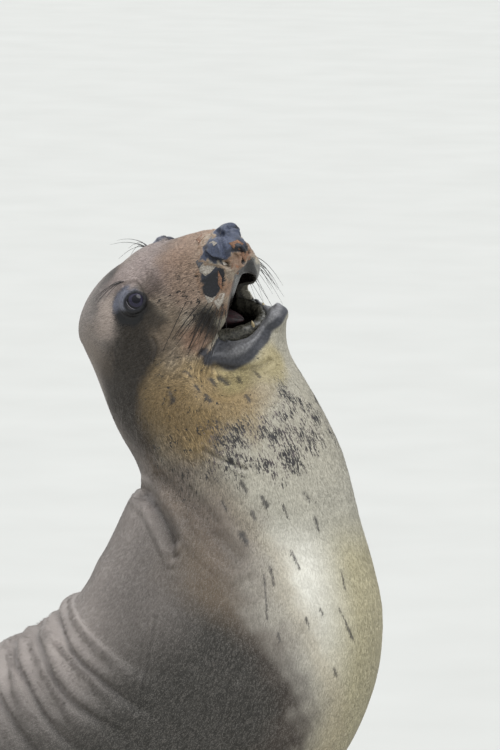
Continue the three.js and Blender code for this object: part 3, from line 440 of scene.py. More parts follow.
# Blades of the coat: how far they stand off and are sunk, then the spread of their turn, length,
# width against length, rise, bend and softness
TUFT_RISE = 0.0004
TUFT_SUNK = 0.0008
TUFT_TURN = 0.20
TUFT_LENGTHS = (0.7, 1.3)
TUFT_WIDTHS = (0.09, 0.14)
TUFT_RISES = (0.6, 1.3)
TUFT_BEND = 0.06
TUFT_SOFT = 0.04
LIMB_SHORTER = 0.35
BLADE_CLEAR = 0.0005
# Outline of a blade on the unwrap, its size there, and the margin of the unwrap
BLADE = [(-1, -1), (1, -1), (-0.7, 0.3), (0.7, 0.3), (0, 1)]
PATCH_SIZE = 0.003
MARGIN = 0.004
EYE_LOOK = (0.76, 0.56, 0.40)
BALL_RADIUS = 0.0238
CORNEA = 0.0012
CORNEA_REACH = 30
BALL_STEPS = 40
BALL_SIDES = 56
# Colours of the eye, and from where to where in degrees each ring outside the pupil begins
PUPIL = (0.003, 0.003, 0.006)
PUPIL_EDGE = (16, 19)
IRIS = ((0.016, 0.014, 0.028), (0.030, 0.027, 0.052))
EYE_RINGS = [
    (30, 34, (0.003, 0.003, 0.004)), (40.6, 41.4, (0.30, 0.29, 0.33)), (42.2, 43.4, (0.03, 0.02, 0.02)),
]
# Teeth of each jaw: the canine's ends, the share of it that shows, its width and bow, the pegs, their rise
UPPER_TEETH = (
    [(0.122, 0.027, -0.058), (0.126, 0.027, -0.092)], 0.45, 0.0048, 0.0010,
    [(0.104, 0.040, -0.072), (0.088, 0.044, -0.078), (0.074, 0.046, -0.084)], -0.0045,
)
LOWER_TEETH = (
    [(0.129, 0.025, -0.108), (0.132, 0.025, -0.063)], 0.95, 0.0050, 0.0012,
    [(0.110, 0.036, -0.081), (0.096, 0.041, -0.082), (0.080, 0.044, -0.084)], 0.006,
)
PEG_WIDTH = 0.0026
# Tongue in the head's frame: forward, left, up, reach up, down and to the side
TONGUE = [
    (-0.010, 0, -0.108, 0.012, 0.016, 0.015),
    (0.008, 0, -0.108, 0.014, 0.020, 0.020),
    (0.030, 0, -0.114, 0.014, 0.020, 0.022),
    (0.050, 0, -0.126, 0.012, 0.016, 0.020),
    (0.068, 0, -0.138, 0.009, 0.012, 0.016),
    (0.082, 0, -0.148, 0.005, 0.007, 0.009),
]
TONGUE_SAMPLES = 20
TONGUE_STEPS = 36
TONGUE_SIDES = 40
TONGUE_GROOVE = 0.0028
# Foreflippers: x, y, z of the middle, half width, half thickness, and the way across
FOREFLIPPER = [
    (-0.075, 0.170, 0.262, 0.080, 0.058, 1, 0, 0.25),
    (-0.062, 0.232, 0.196, 0.080, 0.050, 1, 0.05, 0.3),
    (-0.056, 0.284, 0.132, 0.074, 0.041, 1, 0.15, 0.25),
    (-0.058, 0.326, 0.076, 0.068, 0.033, 0.95, 0.3, 0.12),
    (-0.072, 0.364, 0.038, 0.068, 0.027, 0.88, 0.47, 0.03),
    (-0.098, 0.406, 0.0225, 0.074, 0.023, 0.82, 0.57, 0),
    (-0.130, 0.450, 0.0165, 0.080, 0.017, 0.8, 0.6, 0),
    (-0.164, 0.494, 0.012, 0.080, 0.0125, 0.8, 0.6, 0),
    (-0.194, 0.532, 0.008, 0.070, 0.0085, 0.8, 0.6, 0),
    (-0.208, 0.550, 0.004, 0.056, 0.0045, 0.8, 0.6, 0),
]
DIGITS = 5
# Where the digits begin, how far they swell and reach out, and how the edge is slanted and rounded
LIMB_FROM = 3.5
DIGIT_SWELL = 0.34
DIGIT_REACH = 0.007
EDGE_SLANT = 0.020
EDGE_ROUND = 0.034
CLAW_LENGTH = 0.045
CLAW_WIDTH = 0.0058
CLAW_BOW = 0.004
CLAW_CLEAR = 0.005
# Whisker rows of each side: height, and how many
WHISKER_ROWS = [(-0.040, 4), (-0.052, 5), (-0.064, 5), (-0.075, 5)]
WHISKER_STEPS = 14
# Whiskers in the head's frame: the first one's place forward, the step to the next, the shift of every
# other row, the place to the side and the drop of each next one
WHISKER_FROM = 0.080
WHISKER_STEP = 0.014
WHISKER_SHIFT = 0.005
WHISKER_SIDE = 0.095
WHISKER_DROP = 0.006
# The way they lie on the right (-1) and the left, how far each next one turns, and how far they stray
WHISKER_WAYS = {-1: ((-0.85, -0.17, -0.51), 0.07), 1: ((-0.35, 0.10, -0.90), 0)}
WHISKER_STRAY = 0.09
WHISKER_LENGTH = 0.158
WHISKER_SHORTER = 0.012
WHISKER_WIDTH = 0.0008
BROW_HAIRS = 7
BROW_AT = (-0.021, 0.051, 0.038)
BROW_WAY = (-0.85, 0.35, -0.25)
BROW_STRAY = 0.16
BROW_LENGTH = 0.080
BROW_WIDTH = 0.0007

# Where things are in the photograph, in its pixels
GROOVES = {
    # name: track, half width and depth in metres, how dark the painted shade in it is
    "flank_crease": ([(155, 618), (150, 640), (143, 675), (137, 712)], 0.004, 0.002, 0.20),
    "neck_groove_1": ([(143, 492), (152, 502), (161, 516), (168, 530), (172, 540)], 0.010, 0.009, 0.80),
    "neck_groove_2": (
        [(162, 478), (178, 493), (192, 508), (206, 525), (220, 542), (238, 560)], 0.012, 0.005, 0.35),
    "neck_groove_3": ([(164, 462), (180, 478), (198, 498), (216, 520)], 0.009, 0.003, 0.22),
    "neck_groove_4": ([(150, 507), (158, 524), (166, 540), (174, 556)], 0.007, 0.004, 0.3),
    "neck_groove_5": ([(184, 520), (196, 536), (212, 552), (232, 570)], 0.009, 0.003, 0.15),
    "throat_crease": ([(203, 450), (216, 457), (230, 463), (245, 469)], 0.004, 0.003, 0.5),
    "under_jaw_crease": ([(214, 368), (236, 370), (256, 368), (270, 361)], 0.005, 0.0035, 0.3),
    "ear_fold": ([(117, 345), (114, 352), (116, 360)], 0.003, 0.0025, 0.4),
    "cheek_fold": ([(153, 338), (156, 348), (153, 362)], 0.003, 0.0025, 0.4),
    "mouth_corner_1": ([(212, 341), (205, 349), (198, 356)], 0.003, 0.003, 0.5),
    "mouth_corner_2": ([(206, 338), (199, 344), (190, 349)], 0.0025, 0.002, 0.35),
    "nose_cleft": ([(218, 232), (222, 243), (226, 256), (229, 266)], 0.004, 0.005, 0.8),
    "nostril_near": ([(207, 255), (213, 259), (220, 260), (226, 264)], 0.0035, 0.007, 0.9),
    "nostril_far": ([(240, 250), (244, 256), (243, 262)], 0.003, 0.006, 0.9),
    "brow_fold": ([(124, 285), (132, 282), (142, 284), (150, 291)], 0.003, 0.002, 0.25),
}
RIDGES = {
    # name: track, half width and height in metres
    "chest_ridge_1": ([(237, 687), (228, 712), (214, 749)], 0.008, 0.003),
    "chest_ridge_2": ([(270, 687), (260, 715), (245, 744)], 0.008, 0.003),
    "lower_lip_roll": ([(233, 349), (246, 345), (256, 338), (265, 325), (272, 314)], 0.005, 0.003),
}
BORDER = [
    (163, 335), (153, 360), (147, 385), (147, 410), (152, 432), (161, 452), (182, 474), (204, 497),
    (225, 520), (241, 540), (254, 578), (270, 618), (290, 645), (302, 668), (313, 700), (314, 746),
]
# Dashes are repeated on the far side beyond this. Their share of the width, reach, unevenness and strength
DASH_FAR = 0.12
DASH_SHARE = 0.72
DASH_REACH = 0.03
DASH_WANDER = 0.30
DASH_STRENGTH = 0.85
DASHES = [
    # from, to, half width in metres
    ((241, 482), (246, 490), 0.006), ((262, 497), (267, 505), 0.006), ((241, 533), (246, 541), 0.007),
    ((315, 517), (318, 528), 0.004), ((304, 492), (309, 499), 0.004), ((252, 512), (255, 519), 0.004),
    ((291, 551), (299, 566), 0.0035), ((270, 566), (274, 584), 0.0035), ((264, 573), (267, 618), 0.0025),
    ((341, 570), (345, 589), 0.003), ((339, 608), (346, 622), 0.003), ((346, 622), (353, 639), 0.004),
    ((278, 633), (280, 640), 0.003), ((334, 668), (337, 675), 0.004), ((306, 618), (309, 625), 0.003),
    ((320, 608), (323, 614), 0.003), ((283, 505), (288, 516), 0.003), ((222, 501), (226, 508), 0.004),
    ((212, 380), (216, 386), 0.006), ((220, 378), (228, 384), 0.007), ((238, 378), (242, 383), 0.004),
    ((256, 372), (260, 377), 0.004), ((186, 371), (192, 377), 0.004), ((170, 392), (174, 400), 0.005),
    ((206, 395), (210, 401), 0.005), ((196, 386), (200, 392), 0.004), ((246, 395), (250, 400), 0.004),
]


# Shape functions on arrays of points: negative inside, positive outside
def unit(v):
    v = np.asarray(v, float)
    return v / np.linalg.norm(v, axis=-1, keepdims=True)


def mirrored(h):
    return np.stack([h[:, 0], np.abs(h[:, 1]), h[:, 2]], 1)


def ellipsoid(p, form):
    radii = np.array(form[1])
    q = (p - np.array(form[0])) / radii
    near = np.linalg.norm(q, axis=1)
    slope = np.linalg.norm(q / radii, axis=1)
    return near * (near - 1) / np.maximum(slope, 1e-6)


def taper(p, a, b, ra, rb):
    a, b = np.array(a, float), np.array(b, float)
    d = b - a
    t = np.clip((p - a) @ d / (d @ d), 0, 1)
    return np.linalg.norm(p - a - t[:, None] * d, axis=1) - (ra + (rb - ra) * t)


def blend(a, b, reach):
    h = np.maximum(reach - np.abs(a - b), 0) / reach
    return np.minimum(a, b) - h * h * reach / 4


def carve(a, b, reach):
    return -blend(-a, b, reach)


def smooth(x, low, high):
    u = np.clip((x - low) / (high - low), 0, 1)
    return u * u * (3 - 2 * u)


def cubic(rows, t):
    """Rows of numbers read at the places t, smooth between them."""
    rows = np.asarray(rows, float)
    last = len(rows) - 1
    i = np.clip(np.floor(t).astype(int), 0, last - 1)
    u = (t - i)[..., None]
    a, b = rows[np.maximum(i - 1, 0)], rows[i]
    c, d = rows[i + 1], rows[np.minimum(i + 2, last)]
    return b + 0.5 * u * (c - a + u * (2 * a - 5 * b + 4 * c - d + u * (3 * (b - c) + d - a)))


def cubic_slopes(rows, t):
    """First and second derivative of the smooth rows at the places t."""
    last = len(rows) - 1
    i = np.clip(np.floor(t).astype(int), 0, last - 1)
    u = (t - i)[..., None]
    a, b = rows[np.maximum(i - 1, 0)], rows[i]
    c, d = rows[i + 1], rows[np.minimum(i + 2, last)]
    bend = 2 * a - 5 * b + 4 * c - d
    twist = 3 * (b - c) + d - a
    return 0.5 * (c - a + u * (2 * bend + 3 * u * twist)), bend + 3 * u * twist


def run_lengths(line):
    """Length of a line of points from its start to each of them."""
    return np.concatenate([[0], np.cumsum(np.linalg.norm(np.diff(line, axis=0), axis=1))])


class Sweep:
    """A swept form: rows of x, y, z, up, down, side, and how square each section is."""

    def __init__(self, rows, samples, squareness=2.0, end_reach=None, finer=1):
        self.last = len(rows) - 1
        self.finer = finer
        self.end = self.last * finer
        self.rows = cubic(rows, np.linspace(0, self.last, self.end + 1))
        for _ in range(EVENING if finer > 1 else 0):
            self.rows[1:-1] = self.rows[1:-1] / 2 + (self.rows[:-2] + self.rows[2:]) / 4
        self.squareness = squareness
        self.end_reach = end_reach
        self.t = np.linspace(0, self.last, samples + 1)
        fine = self.t * finer
        self.line = cubic(self.rows, fine)
        low, high = np.maximum(fine - 0.02, 0), np.minimum(fine + 0.02, self.end)
        way = (cubic(self.rows, high) - cubic(self.rows, low))[:, :3]
        self.along = unit(way)
        side = np.array([0.0, 1.0, 0.0]) - self.along * self.along[:, 1:2]
        self.side = unit(side)
        self.up = np.cross(self.along, self.side)
        self.metres = run_lengths(self.line[:, :3])

    def measure(self, p):
        """Signed distance, the place along the line and the angle round it."""
        centres = self.line[:, :3]
        t = self.finer * self.t[np.argmin((centres ** 2).sum(1)[None] - 2 * p @ centres.T, axis=1)]
        for _ in range(2):
            way, bend = cubic_slopes(self.rows[:, :3], t)
            speed = (way * way).sum(1)
            r = p - cubic(self.rows[:, :3], t)
            ahead = (r * way).sum(1) / np.maximum(speed - (r * bend).sum(1), 0.3 * speed)
            t = np.clip(t + np.clip(ahead, -0.3, 0.3), 0, self.end)
        row = cubic(self.rows, t)
        r = p - row[:, :3]
        way = unit(cubic_slopes(self.rows[:, :3], t)[0])
        side = unit(np.array([0.0, 1.0, 0.0]) - way * way[:, 1:2])
        across = (r * side).sum(1)
        high = (r * np.cross(way, side)).sum(1)
        ended = (t <= 0) | (t >= self.end)
        past = np.where(ended, np.abs((r * way).sum(1)), 0)
        reach = np.where(high > 0, row[:, 3], row[:, 4])
        away = np.sqrt(across ** 2 + high ** 2 + past ** 2)
        beyond = past / (self.end_reach or row[:, 5])
        n = self.squareness
        rho = (np.abs(across / row[:, 5]) ** n + np.abs(high / reach) ** n + beyond ** n) ** (1 / n)
        distance = away - away / np.maximum(rho, 1e-6)
        distance = np.where(away < 0.001, -np.minimum(row[:, 3], row[:, 5]), distance)
        return distance, t / self.finer, np.arctan2(high, across)


body_sweep = Sweep(BODY, BODY_SAMPLES, 2.0, NECK_END, BODY_FINER)
muzzle_sweep = Sweep(MUZZLE, 60, SECTION_SQUARE)
jaw_sweep = Sweep(JAW, 60, SECTION_SQUARE)

HEAD_TURN = (
    Matrix.Rotation(math.radians(HEAD_YAW), 3, "Z")
    @ Matrix.Rotation(math.radians(-HEAD_PITCH), 3, "Y")
    @ Matrix.Rotation(math.radians(HEAD_ROLL), 3, "X")
)
HEAD_AXES = np.array(HEAD_TURN)


def to_head(p):
    return (p - np.array(HEAD_AT) - NECK) @ HEAD_AXES


def from_head(h):
    return np.asarray(h, float) @ HEAD_AXES.T + np.array(HEAD_AT) + NECK


def swung(h, degrees):
    """Points of the lower jaw turned about its hinge, upwards for a positive angle."""
    c, s = math.cos(math.radians(degrees)), math.sin(math.radians(degrees))
    x, z = h[:, 0] - HINGE[0], h[:, 2] - HINGE[1]
    return np.stack([HINGE[0] + c * x - s * z, h[:, 1], HINGE[1] + s * x + c * z], 1)


def to_shut(h):
    return swung(h, GAPE)


def open_jaw(q):
    return swung(np.atleast_2d(np.asarray(q, float)), -GAPE)


def profile(pairs, x):
    """Height of a line given as pairs of place and height, smooth between them."""
    pairs = np.array(pairs)
    place = np.interp(x, pairs[:, 0], np.arange(len(pairs)))
    return cubic(pairs[:, 1:], place)[:, 0]


def upper_head(h):
    p = mirrored(h)
    d = blend(ellipsoid(p, CRANIUM), ellipsoid(p, BROW), SOFT["brow"])
    d = blend(d, muzzle_sweep.measure(p)[0], SOFT["muzzle"])
    d = blend(d, ellipsoid(p, CHEEK), SOFT["cheek"])
    d = blend(d, ellipsoid(p, WHISKER_PAD), SOFT["pad"])
    return blend(d, ellipsoid(p, NOSE_LOBE), SOFT["nose"])


def lips_apart(h):
    """The gap between the lips: its outline seen from the side."""
    far = smooth(h[:, 1], *FAR_SIDE)
    under = h[:, 2] - profile(UPPER_LIP, h[:, 0]) + FAR_LIP_DROP * far
    over = profile(LOWER_LIP, h[:, 0]) + FAR_LIP_RISE * far * smooth(h[:, 0], 0.155, 0.125) - h[:, 2]
    return np.maximum(carve(under, -over, SOFT["lips"]), MOUTH_CORNER + FAR_CORNER * far - h[:, 0])


def mouth_space(h):
    """The gape with a vault above and a floor below."""
    p = mirrored(h)
    d = lips_apart(h)
    d = blend(d, ellipsoid(p, MOUTH_VAULT), SOFT["walls"])
    d = blend(d, ellipsoid(mirrored(to_shut(h)), MOUTH_FLOOR), SOFT["walls"])
    return blend(d, taper(p, *GULLET), SOFT["gullet"])


def head_form(h):
    """The head with its jaws, without the mouth."""
    return blend(upper_head(h), jaw_sweep.measure(mirrored(to_shut(h)))[0], SOFT["jaw"])


def fold_place(t, angle):
    """Where the rolls of the back run on the body, and how far they show there."""
    aside = np.arccos(np.clip(np.sin(angle), -1, 1))
    return t - FOLD_LEAN * aside, smooth(aside, *FOLD_FADE)


def fold_height(t, angle):
    place, share = fold_place(t, angle)
    return share * sum(rise * np.exp(-np.abs((place - at) / FOLD_WIDTH) ** 3) for at, rise in FOLDS)


def flesh_field(p):
    """Signed distance to the whole animal without its flippers."""
    distance, t, angle = body_sweep.measure(p - NECK)
    d = distance - fold_height(t, angle)
    h = to_head(p)
    near = np.linalg.norm(h, axis=1) < HEAD_REACH
    if near.any():
        hn = h[near]
        p_n = mirrored(hn)
        dn = blend(head_form(hn), d[near], SOFT["neck"])
        dn = carve(dn, ellipsoid(p_n, JAW_SIDE), SOFT["side"])
        out = [a + g * EYE_HOLLOW_OUT for a, g in zip(EYE_AT, EYE_GAZE)]
        dn = carve(dn, ellipsoid(p_n, (out, (EYE_HOLLOW,) * 3)), SOFT["hollow"])
        dn = blend(dn, ellipsoid(p_n, (EYE_AT, (LID_DOME,) * 3)), SOFT["lid"])
        dn = carve(dn, mouth_space(hn), SOFT["lip"])
        d[near] = dn
    return np.maximum(d, -p[:, 2])


def chunks(function, p, size=60000):
    return np.concatenate([function(p[i:i + size]) for i in range(0, len(p), size)])


def slope(field, p, d, step=0.0005):
    moved = []
    for axis in range(3):
        q = p.copy()
        q[:, axis] += step
        moved.append((chunks(field, q) - d) / step)
    return np.stack(moved, 1)


def settle(p, depth, rounds=3):
    """Moves points that lie near the field's surface onto it, a little below by depth."""
    p = p.copy()
    for _ in range(rounds):
        d = chunks(flesh_field, p)
        g = slope(flesh_field, p, d)
        size = (g * g).sum(1)
        share = np.clip((SETTLE_REACH - np.abs(d)) / SETTLE_FADE, 0, 1) * (size > 0.1)
        move = np.clip((d + depth) / np.maximum(size, 0.1), -SETTLE_STEP, SETTLE_STEP) * share
        p -= g * move[:, None]
    return p


# Meshes from arrays
def placed(name, data):
    """An object of the scene with the given data."""
    made = bpy.data.objects.new(name, data)
    bpy.context.scene.collection.objects.link(made)
    return made


def new_object(name, points, faces):
    mesh = bpy.data.meshes.new(name)
    mesh.from_pydata([tuple(p) for p in points], [], [tuple(f) for f in faces])
    mesh.update()
    return placed(name, mesh)


def read_rows(items, key, width=3, kind=np.float32):
    flat = np.empty(len(items) * width, kind)
    items.foreach_get(key, flat)
    return flat.reshape(-1, width)


def read_points(mesh):
    return read_rows(mesh.vertices, "co").astype(float)


def write_points(mesh, points):
    mesh.vertices.foreach_set("co", np.asarray(points, np.float32).ravel())
    mesh.update()


def read_normals(mesh):
    return read_rows(mesh.vertex_normals, "vector").astype(float)


def net(field, low, high, step):
    """Closed mesh of a field's surface over an even grid."""
    axes = [np.arange(a, b + step, step) for a, b in zip(low, high)]
    grid = np.stack(np.meshgrid(*axes, indexing="ij"), -1)
    size = np.array(grid.shape[:3])
    value = chunks(field, grid.reshape(-1, 3)).reshape(size)
    shell = np.ones(size, bool)
    shell[1:-1, 1:-1, 1:-1] = False
    value[shell] = np.maximum(value[shell], step)
    inside = value < 0
    corners = [(i, j, k) for i in (0, 1) for j in (0, 1) for k in (0, 1)]

    def at(array, corner):
        cut = tuple(slice(c, c + n - 1) for c, n in zip(corner, size))
        return array[cut]

    total = np.zeros(tuple(size - 1) + (3,))
    count = np.zeros(size - 1)
    for corner in corners:
        for axis in range(3):
            if corner[axis]:
                continue
            other = tuple(c + (n == axis) for n, c in enumerate(corner))
            a, b = at(value, corner), at(value, other)
            crossed = (a < 0) != (b < 0)
            share = np.where(crossed, a / np.where(crossed, a - b, 1), 0)
            for n in range(3):
                total[..., n] += crossed * (corner[n] + (share if n == axis else 0))
            count += crossed
    used = count > 0
    index = np.full(size - 1, -1)
    index[used] = np.arange(used.sum())
    points = (np.argwhere(used) + total[used] / count[used][:, None]) * step + np.array(low)
    faces = []
    for axis in range(3):
        one, two = (axis + 1) % 3, (axis + 2) % 3
        ahead = [slice(1, n - 1) for n in size]
        ahead[axis] = slice(0, size[axis] - 1)
        after = list(ahead)
        after[axis] = slice(1, size[axis])
        here, there = inside[tuple(ahead)], inside[tuple(after)]
        start = np.array([s.start for s in ahead])
        cells = np.argwhere(here != there) + start
        flip = here[here != there]
        ring = []
        for back in [(0, 0), (1, 0), (1, 1), (0, 1)]:
            c = cells.copy()
            c[:, one] -= back[0]
            c[:, two] -= back[1]
            ring.append(index[c[:, 0], c[:, 1], c[:, 2]])
        quads = np.stack(ring, 1)
        quads[~flip] = quads[~flip][:, ::-1]
        faces.append(quads)
    return points, np.concatenate(faces)


def node_arrays(name):
    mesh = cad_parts[name].data
    faces = [tuple(p.vertices) for p in mesh.polygons]
    return read_points(mesh), faces


def join_arrays(parts):
    points, faces, start = [], [], 0
    for p, f in parts:
        points.append(p)
        faces += [tuple(int(v) + start for v in face) for face in f]
        start += len(p)
    return np.concatenate(points), faces


def applied(made):
    """The object's mesh with its modifiers applied."""
    graph = bpy.context.evaluated_depsgraph_get()
    mesh = bpy.data.meshes.new_from_object(made.evaluated_get(graph))
    old = made.data
    made.modifiers.clear()
    made.data = mesh
    bpy.data.meshes.remove(old)
    return mesh


def finer(mesh, wanted):
    """Splits the faces whose centres the test picks into four."""
    chosen = wanted(read_rows(mesh.polygons, "center").astype(float))
    b = bmesh.new()
    b.from_mesh(mesh)
    b.faces.ensure_lookup_table()
    edges = {e for i in np.flatnonzero(chosen) for e in b.faces[i].edges}
    bmesh.ops.subdivide_edges(b, edges=list(edges), cuts=1, use_grid_fill=True)
    bmesh.ops.triangulate(b, faces=[f for f in b.faces if len(f.verts) > 4])
    b.to_mesh(mesh)
    b.free()
    mesh.update()


def relaxed(points, edges, weight, rounds):
    """Points drawn towards the middle of their neighbours, each by its weight."""
    count = np.bincount(edges.ravel(), minlength=len(points))[:, None]
    points = points.copy()
    for _ in range(rounds):
        total = np.zeros_like(points)
        for axis in range(3):
            total[:, axis] += np.bincount(edges[:, 0], points[edges[:, 1], axis], len(points))
            total[:, axis] += np.bincount(edges[:, 1], points[edges[:, 0], axis], len(points))
        points += (total / np.maximum(count, 1) - points) * weight[:, None]
    return points


# The net of the skin
head_net = net(flesh_field, *NECK_NET)
body_parts = [node_arrays(n) for n in FLESH if n not in ("head", "lower_jaw")]
skin = new_object("skin", *join_arrays(body_parts + [head_net]))
remesh = skin.modifiers.new("Remesh", "REMESH")
remesh.mode = "VOXEL"
remesh.voxel_size = VOXEL
mesh = applied(skin)


def in_head(p):
    h = to_head(p)
    return (h[:, 0] > FINE_HEAD[0]) & (np.linalg.norm(h - np.array(HEAD_MIDDLE), axis=1) < FINE_HEAD[1])


def in_face(p):
    h = to_head(p)
    eye = np.linalg.norm(mirrored(h) - np.array(EYE_AT), axis=1) < FINE_EYE
    front = (h[:, 0] > FINE_NOSE[0]) & (h[:, 2] > FINE_NOSE[1])
    lips = (h[:, 0] > FINE_LIPS[0]) & (np.abs(chunks(mouth_space, h)) < FINE_LIPS[1])
    return eye | front | lips


def in_front(p):
    return (p[:, 0] > NECK_X + FINE_FRONT[0]) & (p[:, 2] > FINE_FRONT[1]) & (p[:, 2] < FINE_FRONT[2])


finer(mesh, lambda p: in_head(p) | in_front(p))
finer(mesh, in_face)
points = read_points(mesh)
limb_net = join_arrays([node_arrays(n) for n in FLESH if "flipper" in n])
limb_tree = BVHTree.FromPolygons(*[list(map(tuple, part)) for part in limb_net])
limb = np.ones(len(points))
for i in np.flatnonzero(points[:, 2] < LIMB_TOP):
    found = limb_tree.find_nearest(Vector(points[i]), LIMB_REACH)
    if found[0] is not None:
        limb[i] = found[3] / LIMB_REACH
edges = read_rows(mesh.edges, "vertices", 2, np.int32)
on_body = smooth(limb, *LIMB_JOIN)
points = relaxed(points, edges, np.full(len(points), 0.5), 3)
shaped = settle(points, COAT_DEPTH, 2)
points = points + (shaped - points) * on_body[:, None]
points = relaxed(points, edges, 0.5 * (1 - on_body), 8)
points[:, 2] = np.maximum(points[:, 2], FLOOR_CLEAR)
write_points(mesh, points)
normals = read_normals(mesh)


# The camera, and the point of the skin under a pixel
def way_from(azimuth, elevation):
    """The way to a place round the animal, 0 being its right side, and up, in degrees."""
    az, el = math.radians(azimuth), math.radians(elevation)
    return Vector((math.sin(az) * math.cos(el), -math.cos(az) * math.cos(el), math.sin(el)))


def make_camera():
    data = bpy.data.cameras.new("camera")
    data.lens = LENS
    data.sensor_fit = "VERTICAL"
    data.sensor_height = SENSOR
    data.clip_end = VIEW_END
    made = placed("camera", data)
    away = way_from(AZIMUTH, ELEVATION)
    made.location = Vector(AIM) + away * DISTANCE
    made.rotation_euler = (-away).to_track_quat("-Z", "Y").to_euler()
    bpy.context.scene.camera = made
    return made


camera = make_camera()
bpy.context.view_layer.update()


def surface_tree(mesh):
    polygons = [tuple(p.vertices) for p in mesh.polygons]
    return BVHTree.FromPolygons([tuple(v.co) for v in mesh.vertices], polygons)


tree = surface_tree(mesh)


def spot(pixel):
    """Point and outward direction of the skin that a pixel of the photograph shows, or nothing."""
    turn = camera.matrix_world.to_3x3()
    x = (pixel[0] - PHOTO[0] / 2) / PHOTO[1] * SENSOR / LENS
    y = (PHOTO[1] / 2 - pixel[1]) / PHOTO[1] * SENSOR / LENS
    way = (turn @ Vector((x, y, -1))).normalized()
    found = tree.ray_cast(camera.location, way)
    return (np.array(found[0]), np.array(found[1])) if found[0] is not None else None


def trace(track, step=2.0):
    """Points of the skin along a line of pixels."""
    track = np.array(track, float)
    lengths = run_lengths(track)
    count = max(int(lengths[-1] / step), 1)
    place = np.interp(np.linspace(0, lengths[-1], count + 1), lengths, np.arange(len(track)))
    hits = [spot(p) for p in cubic(track, place)]
    return np.array([hit[0] for hit in hits if hit is not None]).reshape(-1, 3)


def folded(p):
    """Places with both sides of the animal on one: the head by its frame, the rest by its width."""
    h = mirrored(to_head(p))
    near = smooth(np.linalg.norm(h - np.array(MIRROR_AT), axis=1), *MIRROR_REACH)[:, None]
    b = p.copy()
    b[:, 1] = -np.abs(b[:, 1])
    other = from_head(h * np.array([1, -1, 1]))
    return b * (1 - near) + other * near


def distance_to(p, targets, reach):
    """Distance of each point to the nearest target, or the reach where none is that near."""
    away = np.full(len(p), reach)
    if not len(targets):
        return away
    low, high = targets.min(0) - reach, targets.max(0) + reach
    near = np.flatnonzero(((p > low) & (p < high)).all(1))
    for start in range(0, len(near), 20000):
        pick = near[start:start + 20000]
        gap = np.sqrt(((p[pick][:, None] - targets[None]) ** 2).sum(2).min(1))
        away[pick] = np.minimum(gap, reach)
    return away


def ripple(p, size, seed, waves=14):
    """Smooth uneven values between about -1 and 1, with bumps of the given size."""
    local = np.random.default_rng(seed)
    way = unit(local.normal(size=(waves, 3)))
    way = way * local.uniform(0.6, 1.5, (waves, 1)) * 2 * math.pi / (size * 2.2)
    phase = local.uniform(0, 2 * math.pi, waves)
    return np.sin(p @ way.T + phase).sum(1) / math.sqrt(waves) / 1.2


def bell(d, width):
    return np.exp(-(d / width) ** 2)


def from_belly(angle):
    """Degrees round the body from the middle of the belly."""
    return np.degrees(np.arccos(np.clip(-np.sin(angle), -1, 1)))


fold = folded(points)
_, along, angle = body_sweep.measure(points - NECK)
belly_turn = from_belly(angle)
h = to_head(points)
g = mirrored(h)
head_share = smooth(np.linalg.norm(g - np.array(HEAD_COAT_AT), axis=1), *HEAD_COAT_REACH)

# Relief: folds, grooves, lids, lips, and the painted shade in the grooves and creases
lift = np.zeros(len(points))
painted_shade = np.zeros(len(points))
for name, (track, width, depth, shade) in GROOVES.items():
    if name.startswith("neck"):
        away = distance_to(points, trace(track), 4 * width)
    else:
        away = distance_to(fold, folded(trace(track)), 4 * width)
    lift -= depth * bell(away, width)
    lift += BANK * depth * bell(away - BANK_AT * width, BANK_WIDTH * width)
    # Painted shade along each groove
    painted_shade = np.maximum(painted_shade, shade * bell(away, DARK_WIDTH * width))
for name, (track, width, height) in RIDGES.items():
    line = folded(trace(track))
    lift += height * bell(distance_to(fold, line, 4 * width), width)
place, share = fold_place(along + 0.05 * ripple(points, 0.08, 3), angle)
for (after, _), (before, rise) in zip(FOLDS, FOLDS[1:]):
    crease = bell(place - (after + before) / 2, FOLD_CREASE) * share * rise / FOLDS[1][1]
    lift -= CREASE_DEPTH * crease
    # Painted shade in the creases between the rolls
    painted_shade = np.maximum(painted_shade, CREASE_SHADE * crease)
for size, height, seed in BODY_RIPPLES:
    lift += height * ripple(points, size, seed) * (1 - 0.7 * head_share)
lift *= on_body
settled_points = points + normals * lift[:, None]

# Gums: a ridge under the lower teeth
h = to_head(settled_points)
q = mirrored(to_shut(h))
arch = np.array(GUM_ARCH)
arch = cubic(arch, np.linspace(0, len(arch) - 1, 40))
from_arch = distance_to(
    np.column_stack([q[:, :2], np.zeros(len(q))]), np.column_stack([arch, np.zeros(len(arch))]), 0.04)
mouth_floor = (h[:, 0] > 0.03) & (q[:, 2] < GUM_TOP) & (chunks(mouth_space, h) < 0.006)
rise = GUM_RISE * bell(from_arch, GUM_WIDTH) * mouth_floor
up_jaw = np.array([math.sin(math.radians(GAPE)), 0, math.cos(math.radians(GAPE))])
settled_points = settled_points + (up_jaw @ HEAD_AXES.T)[None] * rise[:, None]

